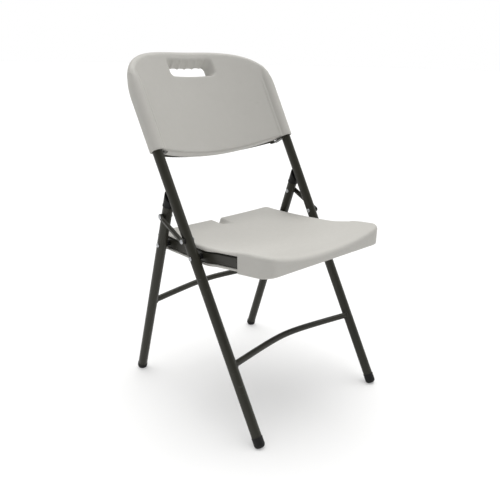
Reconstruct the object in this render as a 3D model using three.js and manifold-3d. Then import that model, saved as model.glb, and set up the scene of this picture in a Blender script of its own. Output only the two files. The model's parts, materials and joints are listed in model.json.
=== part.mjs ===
// Folding chair: a tubular steel frame with a moulded plastic seat and back.
// Millimetres. +Z is up, +Y points to the rear, and the sitter's left is +X.
// The front frame leans back and carries the back rest. The seat turns on the front frame, the rear
// frame turns on the seat, and a link on each side ties the rear frame to the front frame.
import * as THREE from "three";
import { mergeVertices } from "three/addons/utils/BufferGeometryUtils.js";
import Module from "manifold-3d";

const wasm = await Module();
wasm.setup();

const degrees = THREE.MathUtils.degToRad;

// Frame
const TUBE_RADIUS = 12.5;
const TUBE_WALL = 1.2;
const TUBE_SPACING = 430; // between the left and right centrelines
const FRONT_LEAN = degrees(30);
const FOOT_SPREAD = 508; // front to rear centreline, on the floor
const SEAT_PIVOT_UP = 474; // along the front tube from the floor
const TUBES_CROSS_ABOVE = 169.2; // above the seat pivot, where the front and rear centrelines meet
const LINK_PIVOT_ABOVE = 44; // above the seat pivot, along the front tube
const REAR_LINK_PIVOT_ABOVE = 83.8; // above the seat pivot, along the rear tube
const REAR_TUBE_END = 26; // past the link pivot
const STRETCHER_RADIUS = 8;
const STRETCHER_WALL = 1.2;
const STRETCHER_BOW = 28; // both stretchers bow straight to the rear
const FRONT_STRETCHER_UP = 205;
const REAR_STRETCHER_UP = 253;
const GAP = 0.3; // between touching pieces

// Plastic ends of the tubes
const FOOT_WALL = 1.1;
const FOOT_LENGTH = 29;
const FOOT_FLOOR = 5.2; // plastic under the tube end
const FOOT_FLAT = 1.4; // depth worn off the domed end by the floor
const CAP_OVER_TUBE = 0.5;
const CAP_PLUG_LENGTH = 16;
const CAP_OFF_FRONT_TUBE = 0.9;

// Pivots
const RIVET_RADIUS = 4;
const RIVET_HEAD_RADIUS = 6.6;
const RIVET_HEAD_HEIGHT = 2.3;
const SPACER_RADIUS = 7;
const LINK_OFF_TUBE = 3.9; // tube side to link
const LINK_THICKNESS = 3;
const LINK_HALF_WIDTH = 8;

// Seat
const SEAT_FRONT_OVERHANG = 232; // ahead of the front pivot
const SEAT_REAR_OVERHANG = 53.5; // behind the rear pivot
const SEAT_SIDE_CLEARANCE = 2; // front block to tube
const SEAT_LIP_SETBACK = 3.5; // lip behind the block's side
const RAIL_SETBACK = 3; // rail face behind the lip
const BLOCK_LENGTH = 98.5;
const BLOCK_CORNER = 32;
const SEAT_REAR_CORNER = 12;
const SEAT_TOP_ABOVE_PIVOT = 18;
const SEAT_HORN = 34; // how much higher the front corners stand
const SEAT_FRONT_LIFT = 10; // how much higher the middle of the front edge stands
const SEAT_SIDE_CURVE = 2.2; // exponent of the rise from the middle to the sides
const SEAT_DISH = 5;
const SEAT_EDGE_RADIUS = 8;
const RAIL_HEIGHT = 26;
const RAIL_DEPTH = 12;
const RAIL_WALL = 1.8;
const RAIL_SLOPE = 0.133; // the rail's rise towards the front
const RAIL_BEND = 60; // length ahead of the front pivot over which the rail starts to rise
const RAIL_INTO_BLOCK = 16;
const RAIL_REAR_SETBACK = 6; // ahead of the seat's rear edge
const RAIL_CLEARANCE = 0.5; // above and below the rail in its groove
const LOWER_LIP = 6;
const CROSSBAR_WIDTH = 22;
const CROSSBAR_HEIGHT = 9;
const CROSSBAR_WALL = 1.5;
const CROSSBAR_BELOW_RAIL = 3.5;
const FRONT_CROSSBAR_AHEAD = 110; // of the front pivot
const REAR_CROSSBAR_AHEAD = 20; // of the rear pivot
const SEAT_SCREW_SHARE = 0.45; // of the half width, out from the middle

// Back rest
const BACK_ABOVE_PIVOT = 262; // along the front tube
const BACK_SIDE_HEIGHT = 132; // below where the sides start to curve in
const BACK_HEIGHT = 275;
const BACK_ARCH = 2.35; // exponent of the arch, 2 is an ellipse
const BACK_WALL = 5.5; // plastic round the tube
const BACK_CREASE = 0.94; // share of the bulge's radius, in from the tube, where the front sheet meets it
const BACK_SETBACK = 40; // front face behind the tubes, in the middle
const BACK_THICKNESS = 30;
const BACK_EDGE_RADIUS = 12;
const TUBE_IN_BACK = 154;
const HANDLE_WIDTH = 136;
const HANDLE_HEIGHT = 32;
const HANDLE_BELOW_TOP = 51;
const BRACE_HEIGHT = 18;
const BRACE_THICKNESS = 3;
const BRACE_DROP = 2.5; // below the plastic
const BRACE_OFF_TUBE = 8; // end of the strap to the side tube
const BRACE_TAB_LAP = 8; // of a tab on the strap
const BRACE_TAB_DROP = 6; // of a tab below the strap
const BRACE_SCREW_OFF_MIDDLE = 86;

// Screws
const SCREW_RADIUS = 2;
const SCREW_HEAD_RADIUS = 4.6;
const SCREW_HEAD_HEIGHT = 2.2;
const SCREW_POINT = 2;
const SEAT_SCREW_LENGTH = 16;
const BRACE_SCREW_LENGTH = 11;
const BACK_SCREWS_ABOVE_BOTTOM = [46, 122];

// Places that follow from the sizes above
const tubesCrossUp = SEAT_PIVOT_UP + TUBES_CROSS_ABOVE;
const rearLean = Math.atan2(
  FOOT_SPREAD - tubesCrossUp * Math.sin(FRONT_LEAN),
  tubesCrossUp * Math.cos(FRONT_LEAN),
);
const footRadius = TUBE_RADIUS + GAP + FOOT_WALL;
const capRadius = TUBE_RADIUS + CAP_OVER_TUBE;
const backBulge = TUBE_RADIUS + BACK_WALL;
const tubeX = TUBE_SPACING / 2;
const tubeInside = tubeX - TUBE_RADIUS;
const tubeOutside = tubeX + TUBE_RADIUS;
const linkInside = tubeOutside + LINK_OFF_TUBE;
const linkOutside = linkInside + LINK_THICKNESS;
const pivotHeight = SEAT_PIVOT_UP * Math.cos(FRONT_LEAN);
const frontPivotY = SEAT_PIVOT_UP * Math.sin(FRONT_LEAN);
const rearPivotUp = pivotHeight / Math.cos(rearLean);
const rearPivotY = FOOT_SPREAD - rearPivotUp * Math.sin(rearLean);
const pivotSpan = rearPivotY - frontPivotY;
const linkPivotUp = SEAT_PIVOT_UP + LINK_PIVOT_ABOVE;
const rearLinkPivotUp = rearPivotUp + REAR_LINK_PIVOT_ABOVE;
const rearTubeTop = rearLinkPivotUp + REAR_TUBE_END;
const blockX = tubeInside - SEAT_SIDE_CLEARANCE;
const lipX = blockX - SEAT_LIP_SETBACK;
const railX = lipX - RAIL_SETBACK;
const backBottom = SEAT_PIVOT_UP + BACK_ABOVE_PIVOT;
const backShoulder = backBottom + BACK_SIDE_HEIGHT;
const backTop = backBottom + BACK_HEIGHT;
const seatFront = -SEAT_FRONT_OVERHANG;
const seatRear = pivotSpan + SEAT_REAR_OVERHANG;
const blockRear = seatFront + BLOCK_LENGTH;
const backX = tubeX + backBulge;

const powderCoat = () => new THREE.MeshStandardMaterial({ color: 0x3d3c37, roughness: 0.45, metalness: 0.6 });
const palePlastic = () => new THREE.MeshStandardMaterial({ color: 0xc9c8c2, roughness: 0.6, metalness: 0 });
const blackPlastic = () => new THREE.MeshStandardMaterial({ color: 0x141414, roughness: 0.5, metalness: 0 });
const zincPlate = () => new THREE.MeshStandardMaterial({ color: 0xb9bcc0, roughness: 0.3, metalness: 1 });

// Solids

function solid(geometry) {
  const bare = geometry.index ? geometry.toNonIndexed() : geometry.clone();
  bare.deleteAttribute("normal");
  bare.deleteAttribute("uv");
  const merged = mergeVertices(bare, 1e-4);
  return new wasm.Manifold(
    new wasm.Mesh({
      numProp: 3,
      vertProperties: new Float32Array(merged.attributes.position.array),
      triVerts: new Uint32Array(merged.index.array),
    }),
  );
}

function geometryOf(body) {
  const { vertProperties, triVerts } = body.getMesh();
  const geometry = new THREE.BufferGeometry();
  geometry.setAttribute("position", new THREE.BufferAttribute(vertProperties, 3));
  geometry.setIndex(new THREE.BufferAttribute(triVerts, 1));
  geometry.computeVertexNormals();
  return geometry;
}

function cut(geometry, ...cutters) {
  return geometryOf(cutters.reduce((body, cutter) => body.subtract(solid(cutter)), solid(geometry)));
}

function join(geometry, ...others) {
  return geometryOf(others.reduce((body, other) => body.add(solid(other)), solid(geometry)));
}

// A profile of [radius, height] turned round the Z axis.
function turned(profile, segments = 20) {
  const points = profile.map(([radius, height]) => new THREE.Vector2(radius, height));
  return new THREE.LatheGeometry(points, segments).rotateX(Math.PI / 2);
}

function rod(radius, from, to, segments = 20) {
  return turned([[0, from], [radius, from], [radius, to], [0, to]], segments);
}

function pipe(radius, wall, from, to) {
  const inner = radius - wall;
  return turned([[radius, from], [radius, to], [inner, to], [inner, from], [radius, from]]);
}

// A rod across the chair, at y and z.
function crossRod(radius, from, to, y, z, segments = 12) {
  return rod(radius, from, to, segments).rotateY(Math.PI / 2).translate(0, y, z);
}

function box(x, y, z) {
  return new THREE.BoxGeometry(x[1] - x[0], y[1] - y[0], z[1] - z[0]).translate(
    (x[0] + x[1]) / 2,
    (y[0] + y[1]) / 2,
    (z[0] + z[1]) / 2,
  );
}

// Both sides of a range across the chair: side is +1 on the sitter's left and -1 on the right.
function across(side, inner, outer) {
  return side > 0 ? [inner, outer] : [-outer, -inner];
}

// A closed solid between an upper and a lower surface. place(s, t) gives the plan point of each
// grid corner, and upper and lower give the surfaces' heights there.
function slab(columns, rows, place, upper, lower) {
  const wide = columns.length;
  const deep = rows.length;
  const positions = [];
  for (const surface of [upper, lower])
    for (const t of rows)
      for (const s of columns) {
        const [x, y] = place(s, t);
        positions.push(x, y, surface(x, y, s, t));
      }
  const at = (layer, i, j) => layer * wide * deep + j * wide + i;
  const index = [];
  const quad = (a, b, c, d) => index.push(a, b, c, a, c, d);
  for (let j = 0; j + 1 < deep; j++)
    for (let i = 0; i + 1 < wide; i++) {
      quad(at(0, i, j), at(0, i + 1, j), at(0, i + 1, j + 1), at(0, i, j + 1));
      quad(at(1, i, j), at(1, i, j + 1), at(1, i + 1, j + 1), at(1, i + 1, j));
    }
  for (let i = 0; i + 1 < wide; i++) {
    quad(at(1, i, 0), at(1, i + 1, 0), at(0, i + 1, 0), at(0, i, 0));
    quad(at(0, i, deep - 1), at(0, i + 1, deep - 1), at(1, i + 1, deep - 1), at(1, i, deep - 1));
  }
  for (let j = 0; j + 1 < deep; j++) {
    quad(at(0, 0, j), at(0, 0, j + 1), at(1, 0, j + 1), at(1, 0, j));
    quad(at(1, wide - 1, j), at(1, wide - 1, j + 1), at(0, wide - 1, j + 1), at(0, wide - 1, j));
  }
  const geometry = new THREE.BufferGeometry();
  geometry.setAttribute("position", new THREE.Float32BufferAttribute(positions, 3));
  geometry.setIndex(index);
  return geometry;
}

const smooth = (value, from, to) => THREE.MathUtils.smoothstep(value, from, to);

// How far a rounded edge of this radius drops, at a distance in from the edge.
function roundedDrop(distance, radius) {
  const left = Math.max(0, radius - Math.max(0, distance));
  return radius - Math.sqrt(radius * radius - left * left);
}

// Fractions from 0 to 1 along a length, close together at each end where the edge is rounded.
function edgeRefined(length, radius, middle) {
  const near = [0, 0.08, 0.3, 1].map((share) => (share * radius) / length);
  const far = near.map((share) => 1 - share).reverse();
  const between = Array.from({ length: middle }, (_, i) =>
    THREE.MathUtils.lerp(near.at(-1), far[0], (i + 1) / (middle + 1)),
  );
  return [...near, ...between, ...far];
}

// Assembly frames

const chair = new THREE.Group();
const frontFrame = new THREE.Group();
frontFrame.rotation.x = -FRONT_LEAN;
const rearFrame = new THREE.Group();
rearFrame.position.y = FOOT_SPREAD;
rearFrame.rotation.x = rearLean;
const seat = new THREE.Group();
seat.position.set(0, frontPivotY, pivotHeight);
chair.add(frontFrame, rearFrame, seat);
chair.updateMatrixWorld(true);

function add(group, name, geometry, material) {
  const mesh = new THREE.Mesh(geometry, material);
  mesh.name = name;
  group.add(mesh);
  return mesh;
}

// The same solid, given in one group's frame and wanted in another's.
function carried(geometry, from, to) {
  return geometry.applyMatrix4(from.matrixWorld).applyMatrix4(to.matrixWorld.clone().invert());
}

// A direction straight to the rear, in a leaning frame.
function rearward(lean) {
  return new THREE.Vector3(0, Math.cos(lean), Math.sin(lean));
}

// Front frame and rear frame

function sideTube(from, to, holes) {
  const bores = holes.map((up) => crossRod(RIVET_RADIUS + GAP, -TUBE_RADIUS * 2, TUBE_RADIUS * 2, 0, up));
  return cut(pipe(TUBE_RADIUS, TUBE_WALL, from, to), ...bores);
}

// A bowed tube between the side tubes, its ends coped to fit them.
function stretcher(up, lean) {
  const reach = tubeX - TUBE_RADIUS / 2;
  const bow = rearward(lean).multiplyScalar(2 * STRETCHER_BOW);
  const path = new THREE.QuadraticBezierCurve3(
    new THREE.Vector3(-reach, 0, up),
    new THREE.Vector3(0, 0, up).add(bow),
    new THREE.Vector3(reach, 0, up),
  );
  const ring = new THREE.Shape().absarc(0, 0, STRETCHER_RADIUS, 0, 2 * Math.PI);
  ring.holes.push(new THREE.Path().absarc(0, 0, STRETCHER_RADIUS - STRETCHER_WALL, 0, 2 * Math.PI));
  const bar = new THREE.ExtrudeGeometry(ring, { extrudePath: path, steps: 12, curveSegments: 4 });
  const copes = [-tubeX, tubeX].map((x) =>
    rod(TUBE_RADIUS + GAP, up - 4 * TUBE_RADIUS, up + 4 * TUBE_RADIUS).translate(x, 0, 0),
  );
  return cut(bar, ...copes);
}

// The plastic foot of a leaning tube: a domed cup, worn flat where it meets the floor.
function foot(lean) {
  const socket = TUBE_RADIUS + GAP;
  const domeIn = [[7, 0.5], [3, 2.6], [1, 5.6], [0, 9.5]];
  const dome = [[0, 0], ...domeIn.map(([inward, up]) => [footRadius - inward, up])];
  const low = Math.min(...dome.map(([r, s]) => s * Math.cos(lean) - r * Math.sin(Math.abs(lean))));
  const base = (-low - FOOT_FLAT) / Math.cos(lean);
  const cup = turned([
    ...dome,
    [footRadius, FOOT_LENGTH],
    [socket, FOOT_LENGTH],
    [socket, FOOT_FLOOR],
    [0, FOOT_FLOOR],
  ]);
  const far = 2 * FOOT_LENGTH;
  const floor = box([-far, far], [-far, far], [-far, 0]).rotateX(lean);
  return { geometry: cut(cup.translate(0, 0, base), floor), tubeStart: base + FOOT_FLOOR + GAP };
}

const frontFoot = foot(FRONT_LEAN);
const rearFoot = foot(-rearLean);

const tubeScrewHeights = BACK_SCREWS_ABOVE_BOTTOM.map((above) => backBottom + above);

// The screw that holds the back to a tube points forward, from behind.
function backScrewHole(radius, up) {
  return rod(radius, 0, backBulge + 4, 12).rotateX(-Math.PI / 2).translate(0, 0, up);
}

// A rivet across the chair from x = low to x = high, with a head at each end.
function rivet(low, high) {
  const r = RIVET_RADIUS;
  const head = RIVET_HEAD_RADIUS;
  const tall = RIVET_HEAD_HEIGHT;
  return turned(
    [
      [0, low],
      [head * 0.6, low],
      [head, low + tall * 0.6],
      [head, low + tall],
      [r, low + tall],
      [r, high - tall],
      [head, high - tall],
      [head, high - tall * 0.6],
      [head * 0.6, high],
      [0, high],
    ],
    12,
  ).rotateY(Math.PI / 2);
}

// A stub with a head at its outer end only.
function stub(root, tip) {
  const out = Math.sign(tip - root);
  const tall = RIVET_HEAD_HEIGHT;
  const head = RIVET_HEAD_RADIUS;
  const length = Math.abs(tip - root);
  return turned(
    [
      [0, 0],
      [RIVET_RADIUS, 0],
      [RIVET_RADIUS, length - tall],
      [head, length - tall],
      [head, length - tall * 0.6],
      [head * 0.6, length],
      [0, length],
    ],
    12,
  )
    .rotateY((out * Math.PI) / 2)
    .translate(root, 0, 0);
}

function spacer(from, to) {
  return cut(
    crossRod(SPACER_RADIUS, from, to, 0, 0),
    crossRod(RIVET_RADIUS + GAP, from - 1, to + 1, 0, 0),
  );
}

const backTubeTop = backBottom + TUBE_IN_BACK;
const sides = [
  ["left", 1],
  ["right", -1],
];

for (const [word, side] of sides) {
  const bores = [SEAT_PIVOT_UP, linkPivotUp];
  const screwBores = tubeScrewHeights.map((up) => backScrewHole(SCREW_RADIUS + GAP, up));
  const frontTube = cut(sideTube(frontFoot.tubeStart, backTubeTop, bores), ...screwBores);
  add(frontFrame, `front_tube_${word}`, frontTube, powderCoat()).position.x = side * tubeX;
  add(frontFrame, `front_foot_${word}`, frontFoot.geometry, blackPlastic()).position.x = side * tubeX;

  const rearTube = sideTube(rearFoot.tubeStart, rearTubeTop, [rearPivotUp, rearLinkPivotUp]);
  add(rearFrame, `rear_tube_${word}`, rearTube, powderCoat()).position.x = side * tubeX;
  add(rearFrame, `rear_foot_${word}`, rearFoot.geometry, blackPlastic()).position.x = side * tubeX;
}
add(frontFrame, "front_stretcher", stretcher(FRONT_STRETCHER_UP, FRONT_LEAN), powderCoat());
add(rearFrame, "rear_stretcher", stretcher(REAR_STRETCHER_UP, -rearLean), powderCoat());

// The cap on top of a rear tube is cut at a slant, and rests against the front tube.
function rearCap() {
  const plug = TUBE_RADIUS - TUBE_WALL - GAP;
  const far = 5 * TUBE_RADIUS;
  const cap = turned([
    [0, rearTubeTop - CAP_PLUG_LENGTH],
    [plug, rearTubeTop - CAP_PLUG_LENGTH],
    [plug, rearTubeTop + GAP],
    [capRadius, rearTubeTop + GAP],
    [capRadius, rearTubeTop + far],
    [0, rearTubeTop + far],
  ]);
  const front = box([-far, far], [-4 * far, TUBE_RADIUS + CAP_OFF_FRONT_TUBE], [0, backTop]);
  return cut(cap, carried(front, frontFrame, rearFrame));
}

const cap = rearCap();
for (const [word, side] of sides)
  add(rearFrame, `rear_cap_${word}`, cap, blackPlastic()).position.x = side * tubeX;

// Back rest

// Height of the arched outline at x.
function backOutline(x) {
  const share = Math.min(1, Math.abs(x) / backX) ** BACK_ARCH;
  return backShoulder + (backTop - backShoulder) * (1 - share) ** (1 / BACK_ARCH);
}

const bulgeStart = tubeX - backBulge * BACK_CREASE;
const bulge = (x) => Math.sqrt(Math.max(1, backBulge ** 2 - (Math.abs(x) - tubeX) ** 2));

// The edge is rounded along the arch. It tightens where the bulge thins, and the foot of the back is square.
function backRounding(x, up) {
  const radius = Math.abs(x) < tubeX ? BACK_EDGE_RADIUS : (0.9 * BACK_EDGE_RADIUS * bulge(x)) / backBulge;
  return roundedDrop(backOutline(x) - up, radius);
}

function backFront(x, up) {
  const crease = bulge(bulgeStart);
  const sheet = BACK_SETBACK - (BACK_SETBACK + crease) * (x / bulgeStart) ** 2;
  const face = Math.abs(x) < bulgeStart ? sheet : -bulge(x);
  return face + backRounding(x, up);
}

function backRear(x, up) {
  const depth = BACK_SETBACK + BACK_THICKNESS;
  const sheet = depth - (depth - backBulge) * (x / tubeX) ** 2;
  const face = Math.abs(x) < tubeX ? sheet : bulge(x);
  return face - backRounding(x, up);
}

function handleSlot() {
  const half = HANDLE_WIDTH / 2 - HANDLE_HEIGHT / 2;
  const round = HANDLE_HEIGHT / 2;
  const outline = new THREE.Shape()
    .absarc(half, 0, round, -Math.PI / 2, Math.PI / 2)
    .absarc(-half, 0, round, Math.PI / 2, 1.5 * Math.PI);
  const depth = BACK_SETBACK + 2 * BACK_THICKNESS;
  return new THREE.ExtrudeGeometry(outline, { depth, bevelEnabled: false, curveSegments: 6 })
    .rotateX(-Math.PI / 2)
    .translate(0, 0, backTop - HANDLE_BELOW_TOP);
}

function backShell() {
  const steps = [0, 0.25, 0.5, 0.75, 1].map((share) => share * 90);
  const outer = steps.map((angle) => tubeX + backBulge * Math.sin(degrees(angle)));
  const inner = [bulgeStart, tubeX - backBulge * 0.5];
  const sheet = Array.from({ length: 9 }, (_, i) => (bulgeStart * i) / 9);
  const half = [...sheet, ...inner, ...outer];
  const columns = [...half.slice(1).map((x) => -x).reverse(), ...half];
  const rows = edgeRefined(backTop - backBottom, BACK_EDGE_RADIUS, 7);
  const place = (x, t) => [x, THREE.MathUtils.lerp(backBottom, backOutline(x), t)];
  // The slab is laid with its plan in X and the tube's direction, then stood up in the frame.
  const laid = slab(columns, rows, place, (x, up) => -backFront(x, up), (x, up) => -backRear(x, up));
  const panel = laid.rotateX(Math.PI / 2);
  const channels = sides.map(([, side]) =>
    rod(TUBE_RADIUS + GAP, backBottom - 5, backTubeTop + 1).translate(side * tubeX, 0, 0),
  );
  const screwHoles = sides.flatMap(([, side]) =>
    tubeScrewHeights.flatMap((up) => [
      backScrewHole(SCREW_RADIUS + GAP, up).translate(side * tubeX, 0, 0),
      backScrewHole(SCREW_HEAD_RADIUS + 2 * GAP, up).translate(side * tubeX, backBulge, 0),
    ]),
  );
  return cut(panel, ...channels, handleSlot(), ...screwHoles, ...braceHoles());
}

// The strap across the foot of the back follows its rear face, with a tab down to each tube.
const braceLow = backBottom - BRACE_DROP;

// Where the strap's screws go, square to its curve.
function braceScrewPlaces() {
  return sides.map(([word, side]) => {
    const x = side * BRACE_SCREW_OFF_MIDDLE;
    const slope = (-2 * x * (BACK_SETBACK + BACK_THICKNESS - backBulge)) / tubeX ** 2;
    return { word, turn: Math.atan(slope), at: [x, backRear(x, backBottom), braceLow + BRACE_HEIGHT / 2] };
  });
}

function braceHoles() {
  return braceScrewPlaces().map(({ turn, at }) =>
    rod(SCREW_RADIUS + GAP, -12, 12, 12).rotateX(-Math.PI / 2).rotateZ(turn).translate(...at),
  );
}

function braceStrap() {
  const reach = tubeInside - BRACE_OFF_TUBE;
  const line = (x, off) => new THREE.Vector2(x, backRear(x, backBottom) + off);
  const stations = Array.from({ length: 19 }, (_, i) => THREE.MathUtils.lerp(-reach, reach, i / 18));
  const outline = new THREE.Shape([
    ...stations.map((x) => line(x, GAP)),
    ...stations.toReversed().map((x) => line(x, GAP + BRACE_THICKNESS)),
  ]);
  const strap = new THREE.ExtrudeGeometry(outline, { depth: BRACE_HEIGHT, bevelEnabled: false });
  strap.translate(0, 0, braceLow);
  const rear = backRear(reach, backBottom) + GAP + BRACE_THICKNESS;
  const tabs = sides.map(([, side]) =>
    box(
      across(side, reach - BRACE_TAB_LAP, tubeX),
      [-2, rear - 0.2],
      [braceLow - BRACE_TAB_DROP, braceLow + BRACE_DROP - GAP],
    ),
  );
  const tubes = sides.map(([, side]) =>
    rod(TUBE_RADIUS + GAP, braceLow - 20, braceLow + BRACE_HEIGHT).translate(side * tubeX, 0, 0),
  );
  return cut(join(strap, ...tabs), ...tubes, ...braceHoles());
}

// A pan-head screw whose head seats at the origin and whose shank runs towards -Z.
function screw(length) {
  return turned(
    [
      [0, -length],
      [SCREW_RADIUS, SCREW_POINT - length],
      [SCREW_RADIUS, 0],
      [SCREW_HEAD_RADIUS, 0],
      [SCREW_HEAD_RADIUS, SCREW_HEAD_HEIGHT * 0.5],
      [SCREW_HEAD_RADIUS * 0.6, SCREW_HEAD_HEIGHT],
      [0, SCREW_HEAD_HEIGHT],
    ],
    12,
  );
}

add(frontFrame, "back_shell", backShell(), palePlastic());
add(frontFrame, "back_brace", braceStrap(), powderCoat());
for (const [word, side] of sides) {
  tubeScrewHeights.forEach((up, i) => {
    const place = [side * tubeX, backRear(tubeX, up) + GAP, up];
    const length = backBulge - TUBE_RADIUS + TUBE_WALL + 4;
    const mesh = add(frontFrame, `back_screw_${i ? "upper" : "lower"}_${word}`, screw(length), zincPlate());
    mesh.position.set(...place);
    mesh.rotation.x = -Math.PI / 2;
  });
}
for (const { word, turn, at } of braceScrewPlaces()) {
  const seated = screw(BRACE_SCREW_LENGTH).translate(0, 0, BRACE_THICKNESS + 3 * GAP);
  const turnedScrew = seated.rotateX(-Math.PI / 2).rotateZ(turn);
  add(frontFrame, `brace_screw_${word}`, turnedScrew, zincPlate()).position.set(...at);
}

// Seat, in the frame of its front pivot

function railLine(y) {
  return y < 0 ? -y * RAIL_SLOPE * smooth(-y, 0, RAIL_BEND) : 0;
}

// An outline in the side view, between two heights off the rail's line, from y = front to y = rear.
function railStrip(front, rear, low, high, x) {
  const steps = 10;
  const stations = Array.from({ length: steps + 1 }, (_, i) => THREE.MathUtils.lerp(front, 0, i / steps));
  stations.push(rear);
  const outline = new THREE.Shape([
    ...stations.map((y) => new THREE.Vector2(y, railLine(y) + low)),
    ...stations.toReversed().map((y) => new THREE.Vector2(y, railLine(y) + high)),
  ]);
  const strip = new THREE.ExtrudeGeometry(outline, { depth: x[1] - x[0], bevelEnabled: false });
  return strip.applyMatrix4(
    new THREE.Matrix4().makeBasis(
      new THREE.Vector3(0, 1, 0),
      new THREE.Vector3(0, 0, 1),
      new THREE.Vector3(1, 0, 0),
    ),
  ).translate(x[0], 0, 0);
}

const railHalf = RAIL_HEIGHT / 2;
const crossbarEnd = railX - RAIL_DEPTH - GAP;
const railFront = blockRear - RAIL_INTO_BLOCK;
const railRear = seatRear - RAIL_REAR_SETBACK;
const grooveHalf = railHalf + RAIL_CLEARANCE;
const panelBottom = (y) => railLine(y) - grooveHalf - LOWER_LIP;

function seatTop(x, y) {
  const side = Math.min(1, Math.abs(x) / blockX) ** SEAT_SIDE_CURVE;
  const forward = smooth(-y, -0.7 * pivotSpan, SEAT_FRONT_OVERHANG - 25);
  const middle = SEAT_FRONT_LIFT * smooth(-y, 0.35 * SEAT_FRONT_OVERHANG, 0.8 * SEAT_FRONT_OVERHANG);
  const dish = SEAT_DISH * (1 - side) * smooth(-y, -seatRear, -0.6 * seatRear);
  return SEAT_TOP_ABOVE_PIVOT + side * SEAT_HORN * forward + (1 - side) * middle - dish;
}

// Half the plan width at y, with rounded corners at the front and the rear.
function seatHalfWidth(y) {
  const front = Math.max(0, BLOCK_CORNER - (y - seatFront));
  const rear = Math.max(0, SEAT_REAR_CORNER - (seatRear - y));
  const frontIn = BLOCK_CORNER - Math.sqrt(BLOCK_CORNER ** 2 - front ** 2);
  const rearIn = SEAT_REAR_CORNER - Math.sqrt(SEAT_REAR_CORNER ** 2 - rear ** 2);
  return blockX - frontIn - rearIn;
}

function crossbarPlaces() {
  return [
    ["front", -FRONT_CROSSBAR_AHEAD],
    ["rear", pivotSpan - REAR_CROSSBAR_AHEAD],
  ].map(([word, y]) => [word, y, railLine(y) - railHalf - CROSSBAR_BELOW_RAIL + CROSSBAR_HEIGHT / 2]);
}

function seatScrewPlaces(y, z) {
  return [-1, 1].map((side) => [side * blockX * SEAT_SCREW_SHARE, y, z - CROSSBAR_HEIGHT / 2]);
}

function seatPanel() {
  const columns = edgeRefined(2, 2 * SEAT_EDGE_RADIUS / blockX, 13).map((share) => 2 * share - 1);
  const length = seatRear - seatFront;
  const rows = edgeRefined(length, SEAT_EDGE_RADIUS, 15);
  const corner = [0.1, 0.35, 0.7].map((share) => (share * BLOCK_CORNER) / length);
  const stations = [...new Set([...rows, ...corner])].sort((a, b) => a - b);
  const place = (s, t) => {
    const y = seatFront + t * length;
    return [s * seatHalfWidth(y), y];
  };
  const edge = (x, y) => Math.min(seatHalfWidth(y) - Math.abs(x), y - seatFront, seatRear - y);
  const top = (x, y) => seatTop(x, y) - roundedDrop(edge(x, y), SEAT_EDGE_RADIUS);
  const block = slab(columns, stations, place, top, (x, y) => panelBottom(y));
  const cutters = [];
  for (const [, side] of sides) {
    const far = blockX + 20;
    cutters.push(box(across(side, lipX, far), [blockRear, seatRear + 20], [-200, 200]));
    const groove = across(side, railX - RAIL_DEPTH - GAP, far);
    cutters.push(railStrip(blockRear, seatRear + 5, -grooveHalf, grooveHalf, groove));
    const pocket = across(side, railX - RAIL_DEPTH - GAP, railX + GAP);
    cutters.push(railStrip(railFront - 1, seatRear + 5, -grooveHalf, grooveHalf, pocket));
  }
  for (const [, y, z] of crossbarPlaces()) {
    const wide = CROSSBAR_WIDTH / 2 + 1;
    const top = z + CROSSBAR_HEIGHT / 2 + GAP;
    cutters.push(box([-crossbarEnd - 1, crossbarEnd + 1], [y - wide, y + wide], [-200, top]));
    for (const [x, screwY, screwZ] of seatScrewPlaces(y, z))
      cutters.push(rod(SCREW_RADIUS + GAP, screwZ, screwZ + SEAT_SCREW_LENGTH + 1, 12).translate(x, screwY, 0));
  }
  return cut(block, ...cutters);
}

// A channel that opens inwards, with holes for the two pivots.
function seatRail(side) {
  const web = across(side, railX - RAIL_WALL, railX);
  const depth = across(side, railX - RAIL_DEPTH, railX);
  const rail = join(
    railStrip(railFront, railRear, -railHalf, railHalf, web),
    railStrip(railFront, railRear, -railHalf, -railHalf + RAIL_WALL, depth),
    railStrip(railFront, railRear, railHalf - RAIL_WALL, railHalf, depth),
  );
  const bores = [0, pivotSpan].map((y) =>
    crossRod(RIVET_RADIUS + GAP, side * railX - 5, side * railX + 5, y, 0),
  );
  return cut(rail, ...bores);
}

function crossbar(y, z) {
  const end = crossbarEnd;
  const wide = CROSSBAR_WIDTH / 2;
  const tall = CROSSBAR_HEIGHT / 2;
  const wall = CROSSBAR_WALL;
  const tube = cut(
    box([-end, end], [y - wide, y + wide], [z - tall, z + tall]),
    box([-end - 1, end + 1], [y - wide + wall, y + wide - wall], [z - tall + wall, z + tall - wall]),
  );
  const bores = seatScrewPlaces(y, z).map(([x, holeY, holeZ]) =>
    rod(SCREW_RADIUS + GAP, holeZ - 2, holeZ + CROSSBAR_HEIGHT + 2, 12).translate(x, holeY, 0),
  );
  return cut(tube, ...bores);
}

add(seat, "seat_panel", seatPanel(), palePlastic());
for (const [word, y, z] of crossbarPlaces()) {
  add(seat, `seat_crossbar_${word}`, crossbar(y, z), powderCoat());
  seatScrewPlaces(y, z).forEach((place, i) => {
    const mesh = add(seat, `seat_screw_${word}_${i ? "left" : "right"}`, screw(SEAT_SCREW_LENGTH), zincPlate());
    mesh.position.set(place[0], place[1], place[2] - GAP);
    mesh.rotation.x = Math.PI;
  });
}

// Pivots and links

const linkEnd = new THREE.Vector2(
  FOOT_SPREAD - rearLinkPivotUp * Math.sin(rearLean) - linkPivotUp * Math.sin(FRONT_LEAN),
  rearLinkPivotUp * Math.cos(rearLean) - linkPivotUp * Math.cos(FRONT_LEAN),
);

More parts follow.
